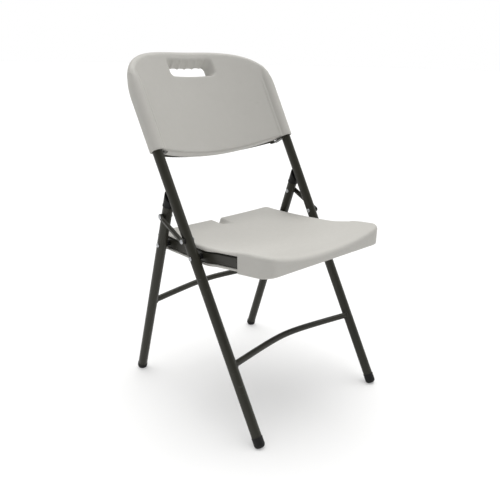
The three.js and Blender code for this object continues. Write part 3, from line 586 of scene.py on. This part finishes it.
def seat_plan(x, y):
    half = LIP_HALF + (BLOCK_HALF - LIP_HALF) * eased(-y, -BLOCK_REAR, -BLOCK_REAR + 3)
    middle_y, half_y = (SEAT_FRONT + SEAT_REAR) / 2, (SEAT_REAR - SEAT_FRONT) / 2
    corner = FRONT_CORNER - (FRONT_CORNER - REAR_CORNER) * eased(y, -60, 60)
    return block(x, y - middle_y, half, half_y, corner)


# %% The seat's field
def tack_offs(x, y, z):
    near_x = x - TACK_PITCH * np.round(x / TACK_PITCH)
    near_y = y - TACK_PITCH * np.round(y / TACK_PITCH)
    up = z - seat_bottom(x, y)
    cone = np.hypot(near_x, near_y) - (TACK_RADIUS - TACK_TAPER * up)
    kept = np.maximum(np.abs(x) - TACKS_HALF_WIDE, np.abs(y - TACKS_MIDDLE) - TACKS_HALF_LONG)
    for bar in CROSSBARS:
        kept = np.maximum(kept, BAR_CLEAR - np.abs(y - (bar.y - seat_pivot.y) / MM))
    return np.maximum(np.maximum(cone, up - TACK_DEPTH), kept)


def seat_field(x, y, z):
    plan = seat_plan(x, y)
    over = (z - seat_top(x, y)) / slope_length(seat_top, x, y)
    under = (seat_bottom(x, y) - z) / slope_length(seat_bottom, x, y)
    round_over = TOP_ROUND + TOP_ROUND_GAIN * eased(-y, 120, 190)
    body = np.maximum(both(over, plan, round_over), both(under, plan, UNDER_ROUND))
    line = rail_line(y)
    groove = np.abs(z - line - SHADOW_GAP / 2) - RAIL_HALF_HEIGHT - SHADOW_GAP / 2
    groove = np.maximum(groove, RAIL_INNER - np.abs(x))
    body = both(body, -np.maximum(groove, BLOCK_REAR - y), GROOVE_ROUND)
    for bar in CROSSBARS:
        spot = (bar - seat_pivot) / MM
        pocket = np.maximum(np.abs(y - spot.y) - POCKET_HALF, np.abs(x) - RAIL_INNER - 1)
        body = np.maximum(body, -np.maximum(pocket, z - spot.z - POCKET_TALL))
    return both(body, -tack_offs(x, y, z), TACK_ROUND)


# %% The seat's mesh
seat_low, seat_high = (-BLOCK_HALF - 3, SEAT_FRONT - 3, -24), (BLOCK_HALF + 3, SEAT_REAR + 3, 59)
mesh, points = contoured(seat_field, seat_low, seat_high, 2.4, seat_place, panel_plastic)
x, y, z = points.T
halfway = seat_bottom(x, y) + 0.5 * (seat_top(x, y) - seat_bottom(x, y))
on_side = (seat_plan(x, y) > -1.5) & (y < BLOCK_REAR + 8)
parting = mesh.attributes.new("parting", "FLOAT", "POINT")
parting.data.foreach_set("value", np.where(on_side, z - halfway, 9.0).astype(np.float32))
settle(object_of("seat_moulding", mesh, 50), "seat", "panel_plastic", "seat_panel")

# %% [markdown]
# ## Tubes and stretchers
# A tube is a circle swept along a path, which Curve to Mesh does in Geometry Nodes. One tree makes
# all six: a line from one end to the other, pushed out by a bow whose middle is bent and whose ends
# stay straight, as a tube bender leaves it. A straight tube just has no bow.

# %% Helpers for Geometry Nodes
KINDS = {"float": "NodeSocketFloat", "int": "NodeSocketInt", "vector": "NodeSocketVector",
         "material": "NodeSocketMaterial", "object": "NodeSocketObject"}


def shape_tree(name, **inputs):
    tree = bpy.data.node_groups.new(name, "GeometryNodeTree")
    tree.interface.new_socket("Geometry", in_out="INPUT", socket_type="NodeSocketGeometry")
    for label, kind in inputs.items():
        tree.interface.new_socket(label, in_out="INPUT", socket_type=KINDS[kind])
    tree.interface.new_socket("Geometry", in_out="OUTPUT", socket_type="NodeSocketGeometry")
    return tree, tree.nodes.new("NodeGroupInput").outputs


def close_tree(tree, geometry, material):
    real = put(tree, "GeometryNodeRealizeInstances", {"Geometry": geometry})
    coated = put(tree, "GeometryNodeSetMaterial", {"Geometry": real.outputs[0], "Material": material})
    put(tree, "NodeGroupOutput", {"Geometry": coated.outputs[0]})


def grown(tree, place, base=None, **values):
    """The tree's result as a plain mesh, taken to its place."""
    host = bpy.data.objects.new("host", base or bpy.data.meshes.new("base"))
    bpy.context.scene.collection.objects.link(host)
    modifier = host.modifiers.new("shape", "NODES")
    modifier.node_group = tree
    for item in tree.interface.items_tree:
        if item.in_out == "INPUT" and item.name in values:
            modifier[item.identifier] = values[item.name]
    graph = bpy.context.evaluated_depsgraph_get()
    mesh = bpy.data.meshes.new_from_object(host.evaluated_get(graph), depsgraph=graph)
    bpy.data.objects.remove(host)
    mesh.transform(place)
    return mesh


# %% The tree for a tube
tube_tree, given = shape_tree("bent_tube", Start="vector", End="vector", Bow="vector", Bend="float",
                              Radius="float", Steps="int", Sides="int", Material="material")
path = put(tube_tree, "GeometryNodeCurvePrimitiveLine", {"Start": given["Start"], "End": given["End"]})
fine = put(tube_tree, "GeometryNodeResampleCurve", {"Curve": path.outputs[0], "Count": given["Steps"]})
along = put(tube_tree, "GeometryNodeSplineParameter").outputs["Factor"]
ends = maths(tube_tree, "MULTIPLY_ADD", along, 2.0, -1.0)
bend_square = maths(tube_tree, "MULTIPLY", given["Bend"], given["Bend"])
kink = maths(tube_tree, "SQRT", maths(tube_tree, "MULTIPLY_ADD", ends, ends, bend_square))
whole = maths(tube_tree, "SQRT", maths(tube_tree, "ADD", 1.0, bend_square))
from_end = maths(tube_tree, "SUBTRACT", whole, kink)
share = maths(tube_tree, "DIVIDE", from_end, maths(tube_tree, "SUBTRACT", whole, given["Bend"]))
push = put(tube_tree, "ShaderNodeVectorMath", {0: given["Bow"], "Scale": share}, operation="SCALE")
bowed = put(tube_tree, "GeometryNodeSetPosition", {"Geometry": fine.outputs[0], "Offset": push.outputs[0]})
circle = {"Radius": given["Radius"], "Resolution": given["Sides"]}
ring = put(tube_tree, "GeometryNodeCurvePrimitiveCircle", circle).outputs[0]
swept = {"Curve": bowed.outputs[0], "Profile Curve": ring, "Fill Caps": True}
skin = put(tube_tree, "GeometryNodeCurveToMesh", swept)
close_tree(tube_tree, skin.outputs[0], given["Material"])


# %% The straight tubes
def span_along(node, place):
    """Lowest and highest point of a CAD node along its tube."""
    back_again = place.inverted()
    ups = [(back_again @ vertex.co).z for vertex in frame["nodes"][node].data.vertices]
    return min(ups), max(ups)


TUBE_RADIUS = 12.5
FRAMES = [("front_frame", "front", front_place), ("rear_frame", "rear", rear_place)]
for body, end, place in FRAMES:
    for word, side in SIDES:
        x, (low, high) = side * TUBE_X, span_along(f"{end}_tube_{word}", place)
        mesh = grown(tube_tree, place, Start=(x, 0, low), End=(x, 0, high), Bow=(0, 0, 0), Bend=0.2,
                     Radius=TUBE_RADIUS, Steps=2, Sides=64, Material=frame_steel)
        settle(object_of(f"{end}_tube_skin_{word}", mesh), body, "frame_steel", f"{end}_tube_{word}")

# %% The stretchers
STRETCHER_RADIUS, BOW = 8.0, 31.0
LOWER = {"front": 0.0, "rear": 2.5}
INTO_TUBE = 9
stretchers = {}
for body, end, place in FRAMES:
    node = f"{end}_stretcher"
    low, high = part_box(node)
    straight_back = place.inverted().to_3x3() @ Vector((0, BOW * MM, 0))
    points = frame["nodes"][node].data.vertices
    ups = [(place.inverted() @ v.co) for v in points if abs(v.co.x) > 0.98 * high.x]
    up = sum(p.z for p in ups) / len(ups) - LOWER[end]
    reach = TUBE_X - INTO_TUBE
    mesh = grown(tube_tree, place, Start=(-reach, 0, up), End=(reach, 0, up), Bow=tuple(straight_back),
                 Bend=0.3, Radius=STRETCHER_RADIUS, Steps=65, Sides=40, Material=frame_steel)
    settle(object_of(f"{node}_skin", mesh), body, "frame_steel", node)
    stretchers[body] = (place, up)
print("stretchers at", {body: round(up, 1) for body, (_, up) in stretchers.items()}, "mm along their tubes")

# %% [markdown]
# ## Weld beads
# Each stretcher end is welded all round to the side tube, and the bead shows as overlapping ripples
# under the powder coat. The path of the bead is a circle wrapped on the side tube, and small squashed
# balls are set along it, each a little different in size, with a fixed seed.

# %% The tree for a weld bead
weld_tree, given = shape_tree("weld_bead", Tube="float", Joint="float", Bead="float",
                               Pitch="float", Material="material")
circle = put(weld_tree, "GeometryNodeCurvePrimitiveCircle", {"Radius": given["Joint"], "Resolution": 72})
here = put(weld_tree, "GeometryNodeInputPosition").outputs[0]
flat = put(weld_tree, "ShaderNodeSeparateXYZ", {0: here}).outputs
tube_square = maths(weld_tree, "MULTIPLY", given["Tube"], given["Tube"])
side_square = maths(weld_tree, "MULTIPLY", flat["X"], flat["X"])
proud = maths(weld_tree, "SQRT", maths(weld_tree, "SUBTRACT", tube_square, side_square))
wrapped = put(weld_tree, "ShaderNodeCombineXYZ", {"X": proud, "Y": flat["X"], "Z": flat["Y"]})
moved = {"Geometry": circle.outputs[0], "Position": wrapped.outputs[0]}
saddle = put(weld_tree, "GeometryNodeSetPosition", moved).outputs[0]
spaced = {"Curve": saddle, "Length": given["Pitch"]}
spots = put(weld_tree, "GeometryNodeCurveToPoints", spaced, mode="LENGTH")
drop = put(weld_tree, "GeometryNodeMeshIcoSphere", {"Radius": given["Bead"], "Subdivisions": 2})
sizes = {"Min": (0.85, 0.85, 0.85), "Max": (1.15, 1.1, 1.2), "Seed": 7}
vary = put(weld_tree, "FunctionNodeRandomValue", sizes, data_type="FLOAT_VECTOR").outputs[0]
each = {"Points": spots.outputs[0], "Instance": drop.outputs[0], "Scale": vary}
beads = put(weld_tree, "GeometryNodeInstanceOnPoints", each)
close_tree(weld_tree, beads.outputs[0], given["Material"])


# %% Helper that joins meshes into one
def merged(meshes):
    shape = bmesh.new()
    for part in meshes:
        shape.from_mesh(part)
    whole_mesh = bpy.data.meshes.new("merged")
    shape.to_mesh(whole_mesh)
    shape.free()
    for material in meshes[0].materials:
        whole_mesh.materials.append(material)
    return whole_mesh


# %% The weld beads
for body, (place, up) in stretchers.items():
    parts = []
    for word, side in SIDES:
        turn = Matrix.Rotation(math.pi if side > 0 else 0, 4, "Z")
        spot = place @ Matrix.Translation((side * TUBE_X, 0, up)) @ turn
        parts.append(grown(weld_tree, spot, Tube=TUBE_RADIUS, Joint=STRETCHER_RADIUS + 0.6, Bead=1.9,
                           Pitch=1.7, Material=frame_steel))
    settle(object_of(f"{body}_welds", merged(parts), 60), body, "frame_steel")

# %% [markdown]
# ## Feet and caps
# A black plastic cup closes each tube's lower end. It is domed, with a thin rim at its mouth, and the
# floor has worn it flat. The rear tubes are capped by a long slanted nose that rests against the front
# tube when the chair is open. Both are short fields: a rod with a round end, cut by a plane.

# %% The feet
CUP_RADIUS, CUP_ROUND, CUP_DOME, RIM_HALF, RIM_PROUD, WORN_ROUND = 13.3, 1.0, 8.5, 1.4, 0.3, 0.8


def foot_field(base, top, world_z):
    def field(x, v, u):
        around = np.hypot(x, v)
        cup = block(around, u - (base + top) / 2, CUP_RADIUS, (top - base) / 2, CUP_ROUND)
        dome = both(around - CUP_RADIUS, base - u, CUP_DOME)
        rim = block(around - CUP_RADIUS + 1 - RIM_PROUD, u - top + RIM_HALF, 1.0, RIM_HALF, RIM_HALF / 2)
        body = np.minimum(np.maximum(cup, dome), rim)
        return both(body, -world_z(x, v, u), WORN_ROUND)
    return field


FOOT_TALL = {"front": 26.0, "rear": 15.0}
for body, end, place in FRAMES:
    for word, side in SIDES:
        node = f"{end}_foot_{word}"
        low = span_along(node, place)[0]
        high = low + FOOT_TALL[end]
        spot = place @ Matrix.Translation((side * TUBE_X, 0, 0))
        rows = [spot[2][n] / MM for n in range(4)]
        height = lambda x, v, u: rows[1] * v + rows[2] * u + rows[3]
        field = foot_field(low - 1.2, high, height)
        mesh, _ = contoured(field, (-17, -17, low - 4), (17, 17, high + 3), 0.75, spot, black_plastic)
        settle(object_of(f"{end}_foot_cup_{word}", mesh, 40), body, "black_plastic", node)


# %% The caps on the rear tubes
NOSE_RADIUS, BAND_RADIUS, BAND_HALF, CAP_ROUND, SLANT_ROUND = 13.1, 13.9, 2.0, 0.6, 1.6


def cap_field(base, off_front):
    def field(x, v, u):
        around = np.hypot(x, v)
        nose = both(around - NOSE_RADIUS, base - u, CAP_ROUND)
        band = block(around - BAND_RADIUS + 1, u - base - BAND_HALF, 1.0, BAND_HALF, CAP_ROUND)
        return both(np.minimum(nose, band), off_front(x, v, u), SLANT_ROUND)
    return field


CAP_OFF_TUBE = 13.4
for word, side in SIDES:
    tube_top = span_along(f"rear_tube_{word}", rear_place)[1]
    low, high = span_along(f"rear_cap_{word}", rear_place)
    spot = rear_place @ Matrix.Translation((side * TUBE_X, 0, 0))
    to_front = front_place.inverted() @ spot
    row = [to_front[1][n] for n in range(4)]
    slant = lambda x, v, u: CAP_OFF_TUBE - (row[1] * v + row[2] * u + row[3])
    cap_low, cap_high = (-16, -16, tube_top - 3), (16, 16, high + 3)
    mesh, _ = contoured(cap_field(tube_top + 0.2, slant), cap_low, cap_high, 0.8, spot, black_plastic)
    settle(object_of(f"rear_nose_{word}", mesh, 40), "rear_frame", "black_plastic", f"rear_cap_{word}")

# %% [markdown]
# ## Links
# Each link is a flat steel bar with round ends and a rib pressed along its middle, which keeps a thin
# bar from bending. In the field the rib is a low round ridge that flows into the bar's outer face.

# %% The links
LINK_HALF_WIDTH, LINK_ROUND = 7.2, 0.7
RIB_INSET, RIB_RADIUS, RIB_SINK, RIB_SQUASH, RIB_BLEND = 13, 4.0, 1.2, 1.25, 1.6
link_length = (link_tip - link_pivot).length / MM


def link_field(inner, outer, side):
    middle_x, half_x = (inner + outer) / 2, (outer - inner) / 2
    def field(x, v, u):
        along = u - np.clip(u, 0, link_length)
        plan = np.hypot(v, along) - LINK_HALF_WIDTH
        bar = both(plan, np.abs(side * x - middle_x) - half_x, LINK_ROUND)
        run = u - np.clip(u, RIB_INSET, link_length - RIB_INSET)
        rib = np.hypot(np.hypot(v, run), (side * x - outer + RIB_SINK) * RIB_SQUASH) - RIB_RADIUS
        return either(bar, rib, RIB_BLEND)
    return field


for word, side in SIDES:
    low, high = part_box(f"link_{word}")
    inner, outer = sorted((abs(low.x) / MM, abs(high.x) / MM))
    reach = sorted((side * (inner - 2), side * (outer + 4.5)))
    bar_low, bar_high = (reach[0], -10, -10), (reach[1], 10, link_length + 10)
    mesh, _ = contoured(link_field(inner, outer, side), bar_low, bar_high, 0.75, link_place, frame_steel)
    settle(object_of(f"link_bar_{word}", mesh, 45), f"{word}_link", "frame_steel", f"link_{word}")

# %% [markdown]
# ## Seat rails
# A rail is a channel rolled from steel strip, open to the inside, with its corners rounded by the
# rolls. It runs level at the pivots and rises to the front. A rounded C section is lofted through
# stations along that line.

# %% The rails
RAIL_TALL, RAIL_DEEP, RAIL_WALL = 26.0, 12.0, 1.8
OUTER_BEND, INNER_BEND = 3, 1.2


def channel_section(side, outer):
    """The C section in x and z, its back at x = outer, walked once round."""
    inner, high = outer - RAIL_WALL, RAIL_TALL / 2
    tip = outer - RAIL_DEEP
    middle_x, middle_z = outer - OUTER_BEND, high - OUTER_BEND

    def arc(z, radius, start, end):
        turns = np.linspace(start, end, 6)
        return [(middle_x + radius * math.cos(t), z + radius * math.sin(t)) for t in turns]

    quarter = math.pi / 2
    outside = [(tip, -high)] + arc(-middle_z, OUTER_BEND, -quarter, 0) + arc(middle_z, OUTER_BEND, 0, quarter)
    inside = [(tip, high), (tip, high - RAIL_WALL)] + arc(middle_z, INNER_BEND, quarter, 0)
    inside += arc(-middle_z, INNER_BEND, 0, -quarter) + [(tip, -high + RAIL_WALL)]
    return [(side * x, z) for x, z in outside + inside]


for word, side in SIDES:
    low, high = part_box(f"seat_rail_{word}")
    outer = max(abs(low.x), abs(high.x)) / MM
    ahead, behind = (low.y - seat_pivot.y) / MM, (high.y - seat_pivot.y) / MM
    section = channel_section(side, outer)
    stations = np.concatenate([np.linspace(ahead, 0, 26), [behind]])
    rings = [[(x, y, z + float(rail_line(np.array(y)))) for x, z in section] for y in stations]
    mesh = lofted(rings, seat_place, frame_steel)
    settle(object_of(f"rail_{word}", mesh, 30), "seat", "frame_steel", f"seat_rail_{word}")

# %% [markdown]
# ## Rivets, spacers and screws
# All the pins are turned shapes, so each is a profile spun round its axis. Geometry Nodes then sets
# one on every point of a small list, turned to face the way that the point's attribute says. A screw's
# cross recess is cut in a field, because a spun profile can't have one.

# %% The tree that sets a fastener on each point
set_tree, given = shape_tree("set_on_points", Fastener="object", Material="material")
facing = put(set_tree, "GeometryNodeInputNamedAttribute", {"Name": "facing"}, data_type="FLOAT_VECTOR")
way = {"Vector": facing.outputs["Attribute"]}
turned = put(set_tree, "FunctionNodeAlignRotationToVector", way, axis="Z").outputs[0]
shape = put(set_tree, "GeometryNodeObjectInfo", {"Object": given["Fastener"]}).outputs["Geometry"]
each = {"Points": given["Geometry"], "Instance": shape, "Rotation": turned}
copies = put(set_tree, "GeometryNodeInstanceOnPoints", each)
close_tree(set_tree, copies.outputs[0], given["Material"])


# %% Helpers that spin a profile and set it on points
def spun(profile, sides=40):
    angles = np.linspace(0, 2 * math.pi, sides, endpoint=False)
    rings = [[(r * math.cos(a), r * math.sin(a), z) for a in angles] for r, z in profile]
    return lofted(rings, Matrix.Identity(4), zinc)


def ring_spun(profile, sides=40):
    """A profile that closes on itself, for a washer or spacer."""
    count = len(profile)
    angles = np.linspace(0, 2 * math.pi, sides, endpoint=False)
    points = [(r * math.cos(a), r * math.sin(a), z) for a in angles for r, z in profile]
    faces = []
    for i in range(sides):
        for k in range(count):
            a, b, after = i * count, (i + 1) % sides * count, (k + 1) % count
            faces.append((a + k, b + k, b + after, a + after))
    return mesh_of(points, faces, Matrix.Identity(4), black_plastic)


def set_all(name, mesh, spots, body, slot, nodes):
    """spots are (point, facing) in metres; the fastener's mesh is in mm along +Z."""
    fastener = bpy.data.objects.new("fastener", mesh)
    base = bpy.data.meshes.new("spots")
    base.from_pydata([tuple(Vector(p) / MM) for p, _ in spots], [], [])
    attribute = base.attributes.new("facing", "FLOAT_VECTOR", "POINT")
    attribute.data.foreach_set("vector", [v for _, way in spots for v in way])
    made = grown(set_tree, Matrix.Scale(MM, 4), base, Fastener=fastener, Material=FINISHES[slot])
    bpy.data.objects.remove(fastener)
    return settle(object_of(name, made, 40), body, slot, *nodes)


# %% Profiles
HEAD, HEAD_TALL, HEAD_EDGE, SHANK, CENTRE = 5.4, 2.3, 0.5, 4.0, 0.4


def head_profile(base):
    """A domed rivet head above base, with the dimple that the setting tool leaves."""
    edge, top = base + HEAD_EDGE, base + HEAD_TALL
    turns = np.linspace(0.25, 1.1, 6)
    dome = [(HEAD * math.cos(a), edge + (HEAD_TALL - HEAD_EDGE) * math.sin(a)) for a in turns]
    return [(HEAD, base), (HEAD, edge)] + dome + [(2.2, top), (1.8, top - 0.5), (CENTRE, top - 0.6)]


def whole_rivet(length):
    base = length / 2 - HEAD_TALL
    bottom = [(r, -z) for r, z in reversed(head_profile(base))]
    return bottom + [(SHANK, -base), (SHANK, base)] + head_profile(base)


def half_rivet(length):
    base = length / 2 - HEAD_TALL
    return [(CENTRE, -length / 2), (SHANK, -length / 2), (SHANK, base)] + head_profile(base)


def spacer_ring(length, bore=4.3, radius=7.0):
    half, soft = length / 2, 0.4
    outside = [(radius - soft, -half), (radius, -half + soft), (radius, half - soft), (radius - soft, half)]
    return outside + [(bore, half), (bore, -half)]


# %% The rivets and spacers on each body
def across(nodes, out=1):
    """Middle and facing of each node, and the nodes' length across the chair."""
    spots = []
    for node in nodes:
        spot = middle(node)
        spots.append((spot, (out * math.copysign(1, spot.x), 0, 0)))
    low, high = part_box(nodes[0])
    return spots, (high.x - low.x) / MM


def pair(stem):
    return [f"{stem}_left", f"{stem}_right"]


def rivets(name, profile, body, nodes, out=1):
    spots, length = across(nodes, out)
    set_all(name, spun(profile(length)), spots, body, "zinc", nodes)


def spacers(name, body, nodes):
    spots, length = across(nodes)
    set_all(name, ring_spun(spacer_ring(length)), spots, body, "black_plastic", nodes)


for stem, body in (("seat_pivot", "front_frame"), ("link_front", "front_frame"), ("rear_pivot", "seat")):
    rivets(f"{stem}_rivets", whole_rivet, body, pair(f"{stem}_rivet"))
rivets("link_rear_inner_rivets", half_rivet, "rear_frame", pair("link_rear_stub"), -1)
for stem, body in (("link_front", "front_frame"), ("seat_front", "seat"), ("seat_rear", "seat")):
    spacers(f"{stem}_spacers", body, pair(f"{stem}_spacer"))
for word, side in SIDES:
    rivets(f"link_rear_outer_rivet_{word}", half_rivet, f"{word}_link", [f"link_rear_rivet_{word}"])
    spacers(f"link_rear_ring_{word}", f"{word}_link", [f"link_rear_spacer_{word}"])


# %% The screws
SCREW_HEAD, SCREW_SHANK, DOME_RADIUS, DOME_DROP = 4.6, 2.0, 6.4, 4.2
CROSS_THICK, CROSS_LONG, CROSS_FLOOR = 0.6, 2.4, 0.9
SHANK_TOP, SHANK_HALF = 0.1, 3.0


def screw_field(x, y, z):
    around = np.hypot(x, y)
    head = np.sqrt(around ** 2 + (z + DOME_DROP) ** 2) - DOME_RADIUS
    head = both(head, -z, 0.3)
    head = both(head, around - SCREW_HEAD, 0.5)
    along_y = np.maximum(np.abs(x) - CROSS_THICK, np.abs(y) - CROSS_LONG)
    along_x = np.maximum(np.abs(y) - CROSS_THICK, np.abs(x) - CROSS_LONG)
    cross = np.minimum(along_y, along_x)
    head = both(head, -np.maximum(cross, CROSS_FLOOR - z), 0.15)
    shank = np.maximum(around - SCREW_SHANK, np.abs(z + SHANK_HALF - SHANK_TOP) - SHANK_HALF)
    return np.minimum(head, shank)


def screw_mesh():
    return contoured(screw_field, (-5.2, -5.2, -6.4), (5.2, 5.2, 2.8), 0.4, Matrix.Identity(4), zinc)[0]


BACK_FACING = tuple(front_place.to_3x3().normalized() @ Vector((0, 1, 0)))
back_nodes = [f"back_screw_{row}_{word}" for row in ("lower", "upper") for word, _ in SIDES]
spots = []
for node in back_nodes:
    local = front_place.inverted() @ middle(node)
    spots.append((front_place @ Vector((local.x, BULGE - 2.4, local.z)), BACK_FACING))
set_all("back_screws", screw_mesh(), spots, "front_frame", "zinc", back_nodes)
seat_nodes = [f"seat_screw_{row}_{word}" for row in ("front", "rear") for word, _ in SIDES]
spots = [(Vector((middle(n).x, middle(n).y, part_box(n)[0].z + 2.2 * MM)), (0, 0, -1)) for n in seat_nodes]
set_all("seat_screws", screw_mesh(), spots, "seat", "zinc", seat_nodes)

# %% [markdown]
# ## The strap under the back
# A steel strap lies against the back's rear face, just above its lower edge, and ties the two tubes.
# Each end turns forward as a small tab that is welded to the tube. The strap is a thin field that
# follows the back's own rear surface, so the two can't drift apart.

# %% The strap
STRAP_THICK, STRAP_TALL, STRAP_ABOVE = 3.0, 16.0, 1.2
STRAP_END, TAB_TALL, TAB_HALF, POST_HALF, POST_TALL = 194.0, 2.4, 9, 6, 4.5
STRAP_ROUND, TAB_ROUND, TAB_EDGE = 1.0, 2.0, 0.6


def strap_field(x, v, u):
    rear = sheet_rear(x, u) + 0.5
    between = np.abs(v - rear - STRAP_THICK / 2) - STRAP_THICK / 2
    tall = np.abs(u - BACK_BOTTOM - STRAP_ABOVE - STRAP_TALL / 2) - STRAP_TALL / 2
    strap = both(both(between, tall, STRAP_ROUND), np.abs(x) - STRAP_END, STRAP_ROUND)
    past_end = np.abs(x) - STRAP_END
    tab_v = sheet_rear(STRAP_END, u) + STRAP_THICK
    tab = both(np.abs(past_end - 3) - TAB_HALF, np.abs(v - tab_v / 2 + 2) - tab_v / 2 - 2, TAB_ROUND)
    tab = both(tab, np.abs(u - BACK_BOTTOM + TAB_TALL / 2 - 0.6) - TAB_TALL / 2, TAB_EDGE)
    post = both(np.abs(past_end + 5) - POST_HALF, between, STRAP_ROUND)
    post = both(post, np.abs(u - BACK_BOTTOM - 2) - POST_TALL, STRAP_ROUND)
    whole = np.minimum(np.minimum(strap, tab), post)
    return np.maximum(whole, TUBE_RADIUS - np.hypot(np.abs(x) - TUBE_X, v))


low, high = (-207, -8, BACK_BOTTOM - 6), (207, SHEET_REAR + 7, BACK_BOTTOM + 22)
mesh, _ = contoured(strap_field, low, high, 1.3, front_place, frame_steel)
settle(object_of("back_strap", mesh, 40), "front_frame", "frame_steel", "back_brace")

# %% [markdown]
# ## What stays from the CAD
# The strap's screws and the two bars under the seat have the right shape already, so they keep their
# CAD meshes and only take a finish.

# %% Finishes on the CAD pieces that still show
slots = {part["node"]: part["material_slot"] for part in frame["record"]["subparts"]}
kept = [name for name, obj in frame["nodes"].items() if not obj.hide_render]
for name in kept:
    materials = frame["nodes"][name].data.materials
    materials.clear()
    materials.append(FINISHES[slots[name]])
print("kept from the CAD:", sorted(kept))

# %% [markdown]
# ## Floor, light and camera
# A pale floor and a soft room show the shape without hard shadows. Most of the light comes from
# overhead, spread as wide as a softbox, so tops read light and fronts a step darker. The floor glows a
# little, like a light table, which keeps the shadow faint. The room is brightest at the horizon, where
# the floor ends, and darkens toward its ceiling.

# %% The floor
glow = {"Emission Color": (1, 1, 1, 1), "Emission Strength": 0.32}
floor_mat, tree, shader = finish_of("floor_paint", Roughness=0.75, **glow)
tone = effect(tree, mottle, Scale=1.5, Spread=0.4)
tree.links.new(blended(tree, tone, (0.58, 0.58, 0.58), (0.61, 0.61, 0.61)), shader.inputs["Base Color"])
FLOOR_RADIUS = 30000.0
turns = np.linspace(0, 2 * math.pi, 96, endpoint=False)
rim = [(FLOOR_RADIUS * math.cos(a), FLOOR_RADIUS * math.sin(a), 0) for a in turns]
floor = object_of("floor", mesh_of(rim, [tuple(range(len(rim)))], Matrix.Scale(MM, 4), floor_mat))

# %% The room
room = bpy.data.worlds.new("room")
room.use_nodes = True
bpy.context.scene.world = room
tree = room.node_tree
tree.nodes.clear()
way = put(tree, "ShaderNodeTexCoord").outputs["Generated"]
height = put(tree, "ShaderNodeSeparateXYZ", {0: way}).outputs["Z"]
fall = {"Value": height, "From Min": 0.09, "From Max": 0.48, "To Min": 1.0, "To Max": 0.18}
level = put(tree, "ShaderNodeMapRange", fall, interpolation_type="SMOOTHSTEP").outputs["Result"]
glow = put(tree, "ShaderNodeBackground", {"Color": (1, 1, 1, 1), "Strength": level})
put(tree, "ShaderNodeOutputWorld", {"Surface": glow.outputs[0]})


# %% The lights
def soft_light(name, power, spread, way, colour):
    """A light from far away lights the floor evenly, and a wide spread keeps its shadows soft."""
    data = bpy.data.lights.new(name, "SUN")
    data.energy, data.angle, data.color = power, math.radians(spread), colour
    light = bpy.data.objects.new(name, data)
    light.rotation_mode = "QUATERNION"
    light.rotation_quaternion = Vector(way).to_track_quat("-Z", "Y")
    bpy.context.scene.collection.objects.link(light)


soft_light("overhead", 3.45, 70, (-0.15, -0.17, -1), (1, 0.998, 0.99))
soft_light("side", 0.25, 40, (-1.0, 0.6, -0.6), (1, 0.995, 0.985))

# %% The camera
CAMERA_SPOT = (-0.9809, -1.0697, 0.8692)
YAW, PITCH, ROLL = 0.7703, -0.3990, 0.0212
aim = Vector((math.sin(YAW) * math.cos(PITCH), math.cos(YAW) * math.cos(PITCH), math.sin(PITCH)))
level_right = Vector((math.cos(YAW), -math.sin(YAW), 0))
level_up = level_right.cross(aim)
right = level_right * math.cos(ROLL) + level_up * math.sin(ROLL)
above = level_up * math.cos(ROLL) - level_right * math.sin(ROLL)
lens = bpy.data.cameras.new("camera")
lens.sensor_width, lens.lens = 36.0, 41.36
lens.shift_x, lens.shift_y = -0.03, 0.08
camera = bpy.data.objects.new("camera", lens)
camera.matrix_world = Matrix.Translation(CAMERA_SPOT) @ Matrix((right, above, -aim)).transposed().to_4x4()
bpy.context.scene.collection.objects.link(camera)
bpy.context.scene.camera = camera
bpy.context.scene.view_settings.view_transform = "Standard"
